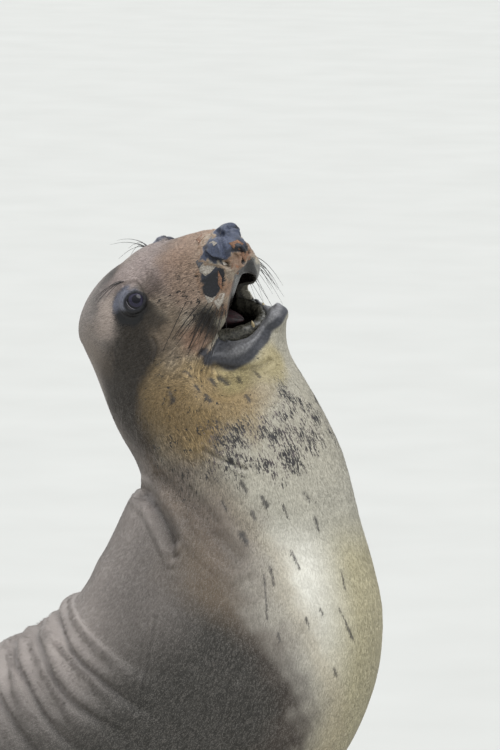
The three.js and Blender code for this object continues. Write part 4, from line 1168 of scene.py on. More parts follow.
# Lids: the skin sinks under the eyeball inside the opening and rises in a rim round it
gaze = unit(EYE_GAZE)
eye_high = unit(np.array([0, 0, 1.0]) - gaze * gaze[2])
eye_wide = np.cross(eye_high, gaze)
h = to_head(settled_points)
flip = np.where(h[:, 1:2] < 0, -1.0, 1.0) * np.array([0, 1.0, 0]) + np.array([1.0, 0, 1.0])
g = h * flip
v = g - np.array(EYE_AT)
radius = np.linalg.norm(v, axis=1)
facing = v @ gaze
opening = np.stack([v @ eye_wide / EYE_OPEN[0], v @ eye_high / EYE_OPEN[1]], 1)
opening = np.linalg.norm(opening, axis=1) * EYE_RADIUS / radius
opening = np.where(facing > 0, opening, 9)
near_eye = (radius < 0.06) & (opening < 4)
target = np.interp(opening, LID_AT, LID_RADIUS)
share = smooth(opening, 1.75, 1.3)
change = (target - radius) * share * near_eye
for at, depth in LID_FOLDS:
    change -= depth * bell(opening - at, 0.07) * near_eye
g = g + v / radius[:, None] * change[:, None]
h = g * flip
eye_opening = np.where(radius < 0.075, opening, 9)
settled_points = np.where(near_eye[:, None], from_head(h), settled_points)
settled_points[:, 2] = np.maximum(settled_points[:, 2], FLOOR_CLEAR)
write_points(mesh, settled_points)
points = settled_points
normals = read_normals(mesh)
tree = surface_tree(mesh)


# Markings, with painted light and shade laid in among them
def laid(colour, over, share):
    return colour + (over - colour) * share[:, None]


def mixed(colour, other, share):
    return laid(colour, np.array(COLOURS[other]), np.clip(share, 0, 1))


def plain(name):
    return np.tile(np.array(COLOURS[name]), (len(points), 1))


border_points = trace(BORDER)
_, border_along, border_angle = body_sweep.measure(border_points - NECK)
border_turn = from_belly(border_angle)
order = np.argsort(border_along)
border_along = np.concatenate([BORDER_BACK[0], border_along[order]])
border_turn = np.concatenate([BORDER_BACK[1], border_turn[order]])
edge = np.interp(along, border_along, border_turn)
for degrees, size, seed in BORDER_WAVES:
    edge = edge + degrees * ripple(points, size, seed)
beyond = belly_turn - edge
soft = BORDER_SOFT + BORDER_SOFTER * bell(along - SOFTER_AT, SOFTER_REACH)
pale = smooth(beyond / soft, 1, -1)
# Light grey back over the dark flank: partly the coat's own colours, partly painted light on top and painted
# shade on the side
degrees, size, seed = BACK_WAVES
upper = smooth(belly_turn + degrees * ripple(points, size, seed), *BACK_FROM)
colour = mixed(plain("flank"), "back", upper)
colour = mixed(colour, "rust", RUST * bell(beyond, RUST_WIDTH) * smooth(along, *RUST_FROM))
colour = mixed(colour, "umber", UMBER * bell(beyond / soft - 1, 1) * smooth(along, *UMBER_FROM))
# Darker yellow low on the front and towards the belly's middle: partly its own colour, partly painted shade
low_front = np.maximum(smooth(along, *BELLY_FROM), smooth(belly_turn, *BELLY_TURN))
cream = mixed(plain("cream"), "belly", low_front)
for tint, strength, low, high in CREAM_TINTS:
    cream = mixed(cream, tint, strength * smooth(along, low, high))
colour = laid(colour, cream, pale)
colour = mixed(colour, "buff", BUFF * bell(beyond + BUFF_AT, BUFF_WIDTH) * smooth(along, *BUFF_FROM))
mottle = np.zeros(len(points))
speck = np.zeros(len(points))
for name, (pixel, reach, stretch, tint, strength) in PATCHES.items():
    hit = spot(pixel)
    if hit is None:
        continue
    centre = folded(hit[0][None])
    away = np.linalg.norm(fold - centre, axis=1) / reach
    away = away * (1 + 0.18 * ripple(points, 0.6 * reach, len(name)))
    share = strength * smooth(away, 1 + stretch, 1 - stretch)
    if tint == "mottle":
        mottle = np.maximum(mottle, share)
    elif tint == "specks":
        speck = np.maximum(speck, share)
    else:
        colour = mixed(colour, tint, share)
for start, end, width in DASHES:
    line = trace([start, end], 1.0)
    width = DASH_SHARE * width
    other = line * np.array([1, -1, 1])
    line = np.concatenate([line, other[other[:, 1] > DASH_FAR]])
    away = distance_to(points, line, DASH_REACH) * (1 + DASH_WANDER * ripple(points, 0.012, 31))
    colour = mixed(colour, "dash", DASH_STRENGTH * smooth(away, 1.3 * width, 0.30 * width))
# Painted shade in the grooves and creases
colour = mixed(colour, "groove", painted_shade * 0.8)

# Naked skin: nose, lips, lids and the mouth
h = to_head(points)
g = mirrored(h)
gape = chunks(mouth_space, h)
sunk = -chunks(head_form, h)
lips = chunks(lips_apart, h)
lower = (h[:, 2] < (profile(UPPER_LIP, h[:, 0]) + profile(LOWER_LIP, h[:, 0])) / 2) & (h[:, 0] > 0.02)
at_mouth = smooth(gape, *NEAR_MOUTH) * (h[:, 0] > 0.0)
inner = np.where(lower, smooth(sunk, *INNER_LOWER), smooth(sunk, *INNER_UPPER)) * at_mouth
lip = np.where(lower, smooth(sunk, *LIP_LOWER), smooth(sunk, *LIP_UPPER)) * at_mouth * (1 - inner)
from_eye = np.linalg.norm((g - np.array(EYE_PATCH_AT)) / np.array(EYE_PATCH), axis=1)
from_eye = from_eye + 0.07 * ripple(points, 0.012, 41)
lid = smooth(from_eye, 1.15, 0.85)
# Painted sheen: the skin round the eye is black, with blue-grey on its upper side
lid_sheen = smooth((g - np.array(EYE_AT)) @ LID_SHEEN_WAY, 0.003, 0.014)
colour = mixed(colour, "orbit", 0.98 * lid)
colour = mixed(colour, "lid", 0.9 * lid * lid_sheen)
colour = mixed(colour, "eye_rim", smooth(eye_opening, 1.34, 1.10))
wander = 1 + 0.16 * ripple(points, 0.018, 43)
forward = smooth(h[:, 0], *BAND_FRONT) * smooth(g[:, 1], *BAND_SIDE) * lower * (1 - inner)
slate = smooth(lips * wander, *BAND_EDGE) * forward
rim = np.maximum(smooth(lips * wander, *RIM_EDGE) * forward, lip * lower) * smooth(h[:, 0], *RIM_FRONT)
colour = mixed(colour, "lip_band", 0.97 * slate)
colour = mixed(colour, "lip_rim", 0.95 * rim)
colour = mixed(colour, "lip", 0.8 * lip * ~lower)
# Painted shade: the lining goes nearly black towards the back of the mouth
deep = smooth(h[:, 0], 0.10, 0.04)
lining = mixed(plain("gum"), "palate", ~lower * 1.0)
lining = mixed(lining, "throat", deep)
lining = mixed(lining, "blood", 0.9 * bell(np.linalg.norm(h - np.array(BLOOD_AT), axis=1), BLOOD_REACH))
colour = laid(colour, lining, inner)
naked = np.clip(inner + lip + slate + smooth(from_eye, 0.95, 0.75), 0, 1)
nose_line = []
for pixel, reach in NOSE_SKIN:
    hit = spot(pixel)
    away = np.linalg.norm(fold - folded(hit[0][None]), axis=1) / reach
    nose_line.append(away + 0.16 * ripple(points, 0.010, 51) + 0.08 * ripple(points, 0.004, 52))
nose_away = np.min(nose_line, 0)
nose = smooth(nose_away, *NOSE_EDGE)
colour = mixed(colour, "peel", PEEL * bell(nose_away - PEEL_AT, PEEL_WIDTH))
nose_dark = np.maximum(smooth(h[:, 2], *NOSE_LOW), smooth(ripple(points, 0.016, 53), -0.2, 1.1))
colour = laid(colour, mixed(plain("nose"), "nose_dark", nose_dark), nose * (1 - inner))
naked = np.maximum(naked, nose)
points = points + normals * (PEEL_STEP * bell(nose_away - 1.10, 0.07) - PEEL_SUNK * nose)[:, None]
write_points(mesh, points)
normals = read_normals(mesh)

# The way the coat lies: tailwards on the body, back from the nose, out along the flippers
sample = (along / body_sweep.last * BODY_SAMPLES).round().astype(int)
tailward = -body_sweep.along[np.clip(sample, 0, BODY_SAMPLES)]
headward = -np.tile(HEAD_AXES[:, 0], (len(points), 1))
lie = tailward * (1 - head_share[:, None]) + headward * head_share[:, None]
outward = np.tile(np.array(LIMB_LIE), (len(points), 1))
outward[:, 1] *= np.sign(points[:, 1])
hind = points[:, 0] < HIND_FROM
outward[hind] = (-1, 0, 0)
lie = lie * on_body[:, None] + outward * (1 - on_body[:, None])
lie = unit(lie - normals * (lie * normals).sum(1)[:, None] + 1e-6)

arc = np.interp(along, body_sweep.t, body_sweep.metres)
girth = np.abs(angle + math.pi / 2)
girth = np.minimum(girth, 2 * math.pi - girth) * np.sign(np.cos(angle))
flow = np.stack([arc, girth * BODY_THICK, np.zeros(len(points))], 1)
head_turn = np.arctan2(h[:, 1], MIRROR_AT[2] - h[:, 2])
head_flow = np.stack([h[:, 0], head_turn * HEAD_THICK, np.ones(len(points))], 1)
flow = flow * (1 - head_share[:, None]) + head_flow * head_share[:, None]
flow = np.where((on_body < 0.5)[:, None], points[:, [1, 0, 2]], flow)


def set_colour(mesh, name, values):
    layer = mesh.attributes.new(name, "FLOAT_COLOR", "POINT")
    full = np.ones((len(values), 4), np.float32)
    full[:, :3] = values
    layer.data.foreach_set("color", full.ravel())


def set_vector(mesh, name, values):
    layer = mesh.attributes.new(name, "FLOAT_VECTOR", "POINT")
    layer.data.foreach_set("vector", np.asarray(values, np.float32).ravel())


limb_tint = (1 - on_body) * smooth(points[:, 2], 0.25, 0.05)
colour = mixed(colour, "flipper", 0.75 * np.maximum(limb_tint, hind * (1 - on_body)))
# Painted shade where the body meets the floor
colour = mixed(colour, "groove", 0.35 * smooth(points[:, 2], 0.05, 0.0) * on_body)
set_colour(mesh, "hide", colour)
sand = (1 - pale) * (1 - 0.8 * head_share) * (1 - naked)
marks = np.stack([mottle * (1 - naked), speck * (1 - naked), sand], 1)
set_vector(mesh, "marks", marks)
set_vector(mesh, "bare", np.stack([naked, inner, nose], 1))
set_vector(mesh, "flow", flow)
set_vector(mesh, "place", points)
mesh.shade_smooth()


# Materials
# Sockets of the colour mix: share, first colour, second colour, and the result
MIX_INPUTS = (0, 6, 7)
MIX_OUTPUT = 2
# Patterns of the hide: whether they lie along the coat, how fine they are each way, detail, roughness, warp
PATTERNS = {
    "strokes": (True, (150, 850, 20), 3.0, 0.6),
    "rough": (True, (85, 420, 20), 3.0, 0.65),
    "blots": (True, (120, 300, 20), 3.0, 0.6, 0.5),
    "broad": (False, (14, 14, 14), 3.0, 0.55),
    "clumps": (False, (42, 42, 42), 2.0, 0.5),
    "grains": (False, (520, 520, 520), 1.0, 0.5),
    "dots": (False, (110, 110, 110), 2.0, 0.5),
    "cracks": (False, (260, 260, 260), 4.0, 0.65),
}
PORES = (900, 900, 900)
HIDE_BUMP = 0.0012
GRAIN_BUMP = 0.0006


class Maker:
    """Builds the nodes of one material."""

    def __init__(self, name):
        self.material = bpy.data.materials.new(name)
        self.material.use_nodes = True
        self.tree = self.material.node_tree
        self.shader = self.tree.nodes["Principled BSDF"]

    def node(self, kind, **values):
        made = self.tree.nodes.new(kind)
        for key, value in values.items():
            setattr(made, key, value)
        return made

    def link(self, out, into):
        self.tree.links.new(out, into)

    def attribute(self, name, channel=None):
        made = self.node("ShaderNodeAttribute", attribute_name=name)
        if channel is None:
            return made.outputs["Vector"]
        if channel == "colour":
            return made.outputs["Color"]
        parts = self.node("ShaderNodeSeparateXYZ")
        self.link(made.outputs["Vector"], parts.inputs[0])
        return parts.outputs[channel]

    def position(self):
        return self.node("ShaderNodeNewGeometry").outputs["Position"]

    def feed(self, socket, value):
        """Gives a socket a number or a colour, or links it."""
        if isinstance(value, (int, float)):
            socket.default_value = value
        elif isinstance(value, tuple):
            socket.default_value = value + (1.0,)
        else:
            self.link(value, socket)

    def stretched(self, vector, scale):
        made = self.node("ShaderNodeVectorMath", operation="MULTIPLY")
        self.link(vector, made.inputs[0])
        made.inputs[1].default_value = scale
        return made.outputs[0]

    def noise(self, vector, scale, detail, rough, warp=0.0):
        made = self.node("ShaderNodeTexNoise")
        self.link(self.stretched(vector, scale), made.inputs["Vector"])
        for name, number in zip(("Scale", "Detail", "Roughness", "Distortion"), (1.0, detail, rough, warp)):
            made.inputs[name].default_value = number
        return made.outputs["Fac"]

    def cells(self, vector, scale):
        made = self.node("ShaderNodeTexVoronoi")
        self.link(self.stretched(vector, scale), made.inputs["Vector"])
        made.inputs["Scale"].default_value = 1.0
        return made.outputs["Distance"]

    def span(self, value, low, high):
        """A value brought to 0 at low and 1 at high, smooth between them."""
        made = self.node("ShaderNodeMapRange", interpolation_type="SMOOTHSTEP")
        for index, number in enumerate((value, low, high, 0.0, 1.0)):
            self.feed(made.inputs[index], number)
        return made.outputs[0]

    def math(self, operation, a, b):
        made = self.node("ShaderNodeMath", operation=operation)
        self.feed(made.inputs[0], a)
        self.feed(made.inputs[1], b)
        return made.outputs[0]

    def times(self, a, b):
        return self.math("MULTIPLY", a, b)

    def less(self, a, b):
        return self.math("SUBTRACT", a, b)

    def mix(self, share, a, b, way="MIX"):
        made = self.node("ShaderNodeMix", data_type="RGBA", blend_type=way)
        for index, value in zip(MIX_INPUTS, (share, a, b)):
            self.feed(made.inputs[index], value)
        return made.outputs[MIX_OUTPUT]

    def dim(self, colour, value):
        return self.mix(1.0, colour, grey(value), "MULTIPLY")

    def bump(self, height, strength, depth):
        made = self.node("ShaderNodeBump")
        self.feed(made.inputs["Strength"], strength)
        self.feed(made.inputs["Distance"], depth)
        self.link(height, made.inputs["Height"])
        self.link(made.outputs["Normal"], self.shader.inputs["Normal"])

    def finish(self, colour, roughness, shine=0.5):
        self.feed(self.shader.inputs["Base Color"], colour)
        self.feed(self.shader.inputs["Roughness"], roughness)
        self.feed(self.shader.inputs["Specular IOR Level"], shine)
        return self.material


def grey(value):
    return (value, value, value)


def fur_material(name, coat):
    """The hide's colours and markings, with the strokes of the coat; naked where the skin is."""
    m = Maker(name)
    hide, flow, place = m.attribute("hide", "colour"), m.attribute("flow"), m.attribute("place")
    mottle, speck, sand = (m.attribute("marks", axis) for axis in "XYZ")

    def pattern(key):
        lies, *facts = PATTERNS[key]
        return m.noise(flow if lies else place, *facts)

    strokes, clumps, grains = pattern("strokes"), pattern("clumps"), pattern("grains")
    base = m.mix(m.span(pattern("broad"), 0.3, 0.7), m.dim(hide, 0.88), hide)
    streaked = m.mix(m.span(strokes, 0.36, 0.64), m.dim(base, 0.62), m.dim(base, 1.22))
    furred = m.times(m.less(1.0, m.times(sand, 0.85)), m.span(hide, 0.66, 0.30))
    base = m.mix(furred, base, streaked)
    roughened = m.mix(m.span(pattern("rough"), 0.40, 0.62), m.dim(base, 0.58), m.dim(base, 1.26))
    base = m.mix(m.span(speck, 0.0, 0.9), base, roughened)
    clumped = m.times(m.less(clumps, 0.5), 0.55)
    limit = m.less(0.82, m.times(mottle, 0.345))
    blotted = m.span(m.less(m.math("ADD", pattern("blots"), clumped), limit), -0.03, 0.04)
    ink = m.mix(m.span(clumps, 0.35, 0.6), COLOURS["stroke"], COLOURS["dash"])
    base = m.mix(m.times(blotted, m.span(mottle, 0.0, 0.15)), base, ink)
    limit = m.less(0.80, m.times(speck, 0.18))
    dotted = m.span(m.less(pattern("dots"), limit), -0.02, 0.02)
    base = m.mix(m.times(dotted, m.span(speck, 0.0, 0.2)), base, COLOURS["fur_dark"])
    sandy = m.times(m.span(grains, 0.46, 0.66), sand)
    base = m.mix(m.times(sandy, 0.26), base, COLOURS["sand"])
    if coat:
        tone = m.span(m.attribute("tone", "X"), 0.0, 1.0)
        return m.finish(m.mix(tone, m.dim(base, 0.92), m.dim(base, 1.06)), 0.62, 0.3)
    naked, inner, nose = (m.attribute("bare", axis) for axis in "XYZ")
    pores, cracks = m.cells(place, PORES), pattern("cracks")
    scuffed = m.mix(m.span(cracks, 0.40, 0.62), m.dim(hide, 0.62), hide)
    scuffed = m.mix(m.times(nose, m.span(cracks, 0.60, 0.68)), scuffed, COLOURS["lip"])
    damp = m.mix(m.span(cracks, 0.35, 0.6), grey(0.30), grey(0.46))
    rough = m.mix(inner, m.mix(naked, grey(0.64), damp), grey(0.22))
    bare_height = m.mix(0.35, cracks, m.dim(pores, 0.5))
    m.bump(m.mix(naked, m.mix(0.5, strokes, grains), bare_height), 0.5, HIDE_BUMP)
    return m.finish(m.mix(naked, base, scuffed), rough, 0.4)


skin_material = fur_material("hide", False)
coat_material = fur_material("coat", True)
skin.data.materials.clear()
skin.data.materials.append(skin_material)
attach(skin, "root")
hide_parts(*FLESH)


# Coat: short flat blades rooted in the skin
mesh.calc_loop_triangles()
triangles = read_rows(mesh.loop_triangles, "vertices", 3, np.int32)
corner = points[triangles]
areas = np.linalg.norm(np.cross(corner[:, 1] - corner[:, 0], corner[:, 2] - corner[:, 0]), axis=1) / 2
middle_along = along[triangles].mean(1)
middle_head = head_share[triangles].mean(1)
middle_limb = 1 - on_body[triangles].mean(1)
middle_naked = naked[triangles].max(1)
middle_low = corner[:, :, 2].min(1)
furry = (middle_naked < 0.4) & (middle_low > 0.004)


def tufts(name, slot, chosen, count, length, unwrap):
    """One piece of the coat: blades on the chosen triangles."""
    index = np.flatnonzero(chosen & furry)
    local = np.random.default_rng(SEED + len(name))
    share = areas[index] / areas[index].sum()
    pick = local.choice(index, count, p=share)
    a, b = local.random(count), local.random(count)
    over = a + b > 1
    a[over], b[over] = 1 - a[over], 1 - b[over]
    weights = np.stack([1 - a - b, a, b], 1)[:, :, None]
    vertices = triangles[pick]

    def read(values):
        return (values[vertices] * weights).sum(1)

    root, out, way = read(points), unit(read(normals)), unit(read(lie))
    tint, mark, flows = read(colour), read(marks), read(flow)
    side = np.cross(out, way)
    turn = local.normal(0, TUFT_TURN, count)[:, None]
    way = unit(way * np.cos(turn) + side * np.sin(turn))
    side = np.cross(out, way)
    long = length * local.uniform(*TUFT_LENGTHS, count) * (1 - LIMB_SHORTER * read(limb_share)[:, 0])
    long = long[:, None]
    wide = long * local.uniform(*TUFT_WIDTHS, count)[:, None]
    rise = local.uniform(*TUFT_RISES, count)[:, None] * TUFT_RISE
    bend = side * long * local.normal(0, TUFT_BEND, count)[:, None]
    ring = [
        root - out * TUFT_SUNK - side * wide * 0.6,
        root - out * TUFT_SUNK + side * wide * 0.6,
        root + way * long * 0.5 + out * rise - side * wide + bend * 0.4,
        root + way * long * 0.5 + out * rise + side * wide + bend * 0.4,
        root + way * long + out * rise * 0.9 + bend,
    ]
    blades = np.stack(ring, 1)
    blades[:, :, 2] = np.maximum(blades[:, :, 2], BLADE_CLEAR)
    quad, tip = [1, 0, 2, 3], [3, 2, 4]
    corners = (np.arange(count) * 5)[:, None] + np.array([quad + tip])
    starts = (np.arange(count) * 7)[:, None] + np.array([[0, 4]])
    made = bpy.data.meshes.new(name)
    made.vertices.add(count * 5)
    made.vertices.foreach_set("co", blades.astype(np.float32).ravel())
    made.loops.add(count * 7)
    made.loops.foreach_set("vertex_index", corners.astype(np.int32).ravel())
    made.polygons.add(count * 2)
    made.polygons.foreach_set("loop_start", starts.astype(np.int32).ravel())
    made.polygons.foreach_set("loop_total", np.tile(np.array([4, 3], np.int32), count))
    made.update()
    made.validate()
    piece = placed(name, made)

    def each(values):
        return np.repeat(values, 5, 0)

    set_colour(made, "hide", each(tint))
    tone = np.stack([local.random(count)] * 3, 1)
    for key, values in {"marks": mark, "flow": flows, "place": root, "tone": tone}.items():
        set_vector(made, key, each(values))
    spread = unwrap(root, flows)
    spread = (spread - spread.min(0)) / (spread.max(0) - spread.min(0))
    spread = MARGIN + spread * (1 - 2 * MARGIN)
    around = (spread[:, None] + (np.array(BLADE) * PATCH_SIZE / 2)[None]).reshape(-1, 2)
    layer = made.uv_layers.new(name="OFBake")
    layer.data.foreach_set("uv", around[corners.ravel()].astype(np.float32).ravel())
    soft = unit(each(out) + each(way) * 0.12 + local.normal(0, TUFT_SOFT, (count * 5, 3)))
    made.shade_smooth()
    made.normals_split_custom_set_from_vertices(soft.astype(np.float32))
    made.materials.append(coat_material)
    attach(piece, "root")


def round_the_body(_, flows):
    return flows[:, :2]


def from_above(root, _):
    return np.stack([root[:, 0] + 0.3 * root[:, 2], root[:, 1]], 1)


limb_share = (1 - on_body)[:, None]
headed = middle_head > 0.5
on_limb = (middle_limb > 0.5) & ~headed
middle_x = corner[:, :, 0].mean(1)


def stretch(low, high):
    """The trunk between two places along the body."""
    return ~headed & ~on_limb & (middle_along > low) & (middle_along <= high)


COAT = {
    # name: slot, where, how many, length in metres, unwrap
    "face": ("coat_face", headed, 40000, 0.0048, round_the_body),
    "neck": ("coat_neck", stretch(13.0, math.inf), 46000, 0.0066, round_the_body),
    "breast": ("coat_chest", stretch(10.0, 13.0), 60000, 0.0066, round_the_body),
    "chest": ("coat_chest", stretch(7.0, 10.0), 64000, 0.0066, round_the_body),
    "back": ("coat_back", stretch(4.2, 7.0), 60000, 0.0070, round_the_body),
    "hips": ("coat_back", stretch(-math.inf, 4.2), 36000, 0.0075, round_the_body),
    "fore": ("skin_flipper", on_limb & (middle_x > HIND_FROM), 20000, 0.0070, from_above),
    "hind": ("skin_flipper", on_limb & (middle_x <= HIND_FROM), 16000, 0.0065, from_above),
}
for name, facts in COAT.items():
    tufts("coat_" + name, *facts)


# Rings of points joined into closed forms
def ring_faces(rings, sides):
    """Faces between the rings."""
    faces = []
    for i in range(rings - 1):
        for k in range(sides):
            n = (k + 1) % sides
            a, b = i * sides + k, i * sides + n
            faces.append((a, b, b + sides, a + sides))
    return faces


def closed_faces(rings, sides):
    """Faces between the rings and over both ends."""
    last = (rings - 1) * sides
    ends = [tuple(range(sides))[::-1], tuple(last + k for k in range(sides))]
    return ring_faces(rings, sides) + ends


# Eyes
def eyeball(side):
    points = []
    flip = np.array([1, side, 1])
    centre, look = np.array(EYE_AT), unit(EYE_LOOK)
    wide = unit(np.cross((0, 0, 1.0), look))
    high = np.cross(look, wide)
    for i in range(BALL_STEPS + 1):
        turn = math.pi * i / BALL_STEPS
        bulge = CORNEA * math.exp(-(turn / math.radians(CORNEA_REACH)) ** 4)
        for k in range(BALL_SIDES):
            a = 2 * math.pi * k / BALL_SIDES
            way = look * math.cos(turn) + (wide * math.cos(a) + high * math.sin(a)) * math.sin(turn)
            points.append(centre + way * (BALL_RADIUS + bulge))
    name = "eye_ball_right" if side < 0 else "eye_ball_left"
    made = new_object(name, from_head(np.array(points) * flip), ring_faces(BALL_STEPS + 1, BALL_SIDES))
    b = bmesh.new()
    b.from_mesh(made.data)
    bmesh.ops.remove_doubles(b, verts=b.verts, dist=1e-6)
    bmesh.ops.recalc_face_normals(b, faces=b.faces)
    b.to_mesh(made.data)
    b.free()
    local = to_head(read_points(made.data)) * flip - centre
    degrees = np.degrees(np.arccos(np.clip(unit(local) @ look, -1, 1)))
    set_vector(made.data, "turn", np.stack([degrees] * 3, 1))
    made.data.shade_smooth()
    return made


def eye_material():
    """Rings of colour by the angle from the middle of the pupil."""
    m = Maker("eye")
    turn = m.attribute("turn", "X")
    veins = m.noise(m.position(), (700, 700, 700), 3.0, 0.6)
    base = m.mix(m.span(veins, 0.3, 0.7), *IRIS)
    base = m.mix(m.span(turn, *PUPIL_EDGE), PUPIL, base)
    for low, high, colour in EYE_RINGS:
        base = m.mix(m.span(turn, low, high), base, colour)
    return m.finish(base, 0.10, 0.28)


eye_finish = eye_material()
for side in (-1, 1):
    ball = eyeball(side)
    ball.data.materials.append(eye_finish)
    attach(ball, "root")
    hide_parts("eye_right" if side < 0 else "eye_left")


# Teeth, claws and whiskers: tapered tubes
def tube(path, radii, sides):
    """Rings round a path, closed at both ends."""
    path = np.array(path, float)
    way = unit(np.gradient(path, axis=0))
    helper = np.array([0.3, 0.5, 0.81])
    across = unit(np.cross(way, helper))
    other = np.cross(way, across)
    points = []
    for p, one, two, radius in zip(path, across, other, radii):
        for k in range(sides):
            a = 2 * math.pi * k / sides
            points.append(p + (one * math.cos(a) + two * math.sin(a)) * radius)
    return np.array(points), closed_faces(len(path), sides)


def curved(start, end, bow, steps):
    t = np.linspace(0, 1, steps + 1)[:, None]
    return np.array(start) * (1 - t) + np.array(end) * t + np.array(bow) * np.sin(math.pi * t)


def spike(root, tip, width, bow, steps=8, sides=12):
    t = np.linspace(0, 1, steps + 1)
    radii = np.maximum(width * np.sqrt(np.clip(1 - t ** 2, 0, 1)), 0.0004)
    return tube(curved(root, tip, bow, steps), radii, sides)


def piece(name, parts, material, slot, replaced=()):
    made = new_object(name, *join_arrays(parts))
    made.data.shade_smooth()
    made.data.materials.append(material)
    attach(made, "root")
    if replaced:
        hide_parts(*replaced)
    return made


def simple_material(name, pale, shade, scale, rough, bump=0.3):
    """Two colours in an even grain."""
    m = Maker(name)
    grain = m.noise(m.position(), (scale, scale, scale), 4.0, 0.6)
    m.bump(grain, bump, GRAIN_BUMP)
    return m.finish(m.mix(m.span(grain, 0.35, 0.65), shade, pale), rough)


tooth_finish = simple_material("tooth", (0.50, 0.43, 0.27), (0.28, 0.21, 0.11), 300, 0.30)


def jaw_teeth(side, placed_by, canine, shown, width, bow, pegs, rise):
    """The canine and the pegs of one side of a jaw."""
    flip = np.array([1, side, 1])
    root, tip = (placed_by(np.array(end) * flip) for end in canine)
    tip = root + (tip - root) * shown
    teeth = [spike(from_head(root), from_head(tip), width, HEAD_AXES[:, 0] * bow)]
    for at in pegs:
        root = np.array(at) * flip
        ends = [placed_by(root), placed_by(root + np.array([0, 0, rise]))]
        teeth.append(spike(from_head(ends[0]), from_head(ends[1]), PEG_WIDTH, (0, 0, 0)))
    return teeth


teeth = []
for side in (-1, 1):
    teeth += jaw_teeth(side, lambda q: q, *UPPER_TEETH)
    teeth += jaw_teeth(side, lambda q: open_jaw(q)[0], *LOWER_TEETH)
piece("teeth", teeth, tooth_finish, "mouth")


def lower_gum():
    """A soft rim round the lower teeth: an oval section carried along the arch of the jaw."""
    right = np.array(GUM_ARCH) * (1, -1)
    arch = np.concatenate([right, np.array(GUM_ARCH)[::-1][1:]])
    line = cubic(arch, np.linspace(0, len(arch) - 1, GUM_RINGS))
    way = unit(np.gradient(line, axis=0))
    out = np.stack([way[:, 1], -way[:, 0]], 1)
    points = []
    for i, (place, aside) in enumerate(zip(line, out)):
        close = min(1, 0.25 + 0.12 * min(i, len(line) - 1 - i))
        for k in range(GUM_SIDES):
            a = 2 * math.pi * k / GUM_SIDES
            swell = 1 + 0.05 * math.sin(i * 0.9 + 2 * a) + 0.04 * math.sin(i * 0.37)
            flat = place + aside * math.cos(a) * GUM_SIZE[0] * close * swell
            points.append((flat[0], flat[1], GUM_MIDDLE + math.sin(a) * GUM_SIZE[1] * close * swell))
    return from_head(open_jaw(np.array(points))), closed_faces(GUM_RINGS, GUM_SIDES)


gum_finish = simple_material("gum", (0.085, 0.080, 0.062), (0.016, 0.015, 0.012), 300, 0.30, 0.6)
piece("gum", [lower_gum()], gum_finish, "mouth")


def tongue_flesh():
    """The tongue, with a groove along the middle of its back."""
    sweep = Sweep(TONGUE, TONGUE_SAMPLES)
    points = []
    for i in range(TONGUE_STEPS + 1):
        share = i / TONGUE_STEPS
        near = int(round(share * TONGUE_SAMPLES))
        row = cubic(sweep.rows, np.array([sweep.last * share]))[0]
        close = math.sqrt(max(1 - share ** 6, 0.02))
        for k in range(TONGUE_SIDES):
            a = 2 * math.pi * k / TONGUE_SIDES
            rise = math.sin(a)
            reach = row[3] if rise > 0 else row[4]
            groove = TONGUE_GROOVE * math.exp(-(math.cos(a) / 0.30) ** 2) if rise > 0 else 0
            offset = sweep.side[near] * math.cos(a) * row[5] * close
            points.append(row[:3] + offset + sweep.up[near] * (rise * reach * close - groove))
    faces = [face[:1] + face[:0:-1] for face in closed_faces(TONGUE_STEPS + 1, TONGUE_SIDES)]
    return from_head(np.array(points)), faces


tongue_finish = simple_material("tongue", (0.030, 0.006, 0.009), (0.007, 0.003, 0.004), 160, 0.60, 0.9)
piece("tongue_flesh", [tongue_flesh()], tongue_finish, "mouth", ["tongue"])


def limb_point(t, across, face, side):
    """Point of a foreflipper: place along it, -1 to 1 across, then 1 on the back and -1 on the sole."""
    rows = np.array([[r[0] + NECK_X, side * r[1], r[2], r[4], r[4], r[3]] for r in FOREFLIPPER])
    ways = np.array([[r[5], side * r[6], r[7]] for r in FOREFLIPPER])
    last = len(rows) - 1
    row = cubic(rows, np.array([t]))[0]
    after, before = (cubic(rows, np.array([v]))[0] for v in (min(t + 0.02, last), max(t - 0.02, 0)))
    way = unit(after[:3] - before[:3])
    i = min(int(t), last - 1)
    wide = ways[i] + (ways[i + 1] - ways[i]) * (t - i)
    wide = unit(wide - way * (wide @ way))
    back = np.cross(wide, way) * side
    out = np.clip((t - LIMB_FROM) / (last - LIMB_FROM), 0, 1)
    comb = math.cos(across * math.pi * DIGITS)
    swell = 1 + out * DIGIT_SWELL * (comb - 0.35)
    p = row[:3] + wide * across * row[5]
    p = p + back * face * row[3] * swell * max(1 - across * across, 0) ** 0.4
    return p + way * out * out * (across * (EDGE_SLANT - EDGE_ROUND * across) + DIGIT_REACH * comb)


def all_claws():
    claws = []
    last = len(FOREFLIPPER) - 1
    for side in (-1, 1):
        for n in range(DIGITS):
            across = (2 * n + 1) / DIGITS - 1
            root = limb_point(last - 0.6, across, 0.55, side)
            end = limb_point(last, across, 0.8, side)
            tip = root + unit(end - root) * CLAW_LENGTH
            tip[2] = max(tip[2], CLAW_CLEAR)
            claws.append(spike(root, tip, CLAW_WIDTH, (0, 0, CLAW_BOW), 10, 14))
    return claws


claw_finish = simple_material("claw", (0.060, 0.052, 0.045), (0.022, 0.020, 0.018), 260, 0.34, 0.4)
piece("claws", all_claws(), claw_finish, "skin_flipper")


def on_head(f, l, u):
    """The point of the skin next to a place given in the head's frame, and the way out of it."""
    found = tree.find_nearest(Vector(from_head(np.array([f, l, u]))))
    return np.array(found[0]), np.array(found[1])


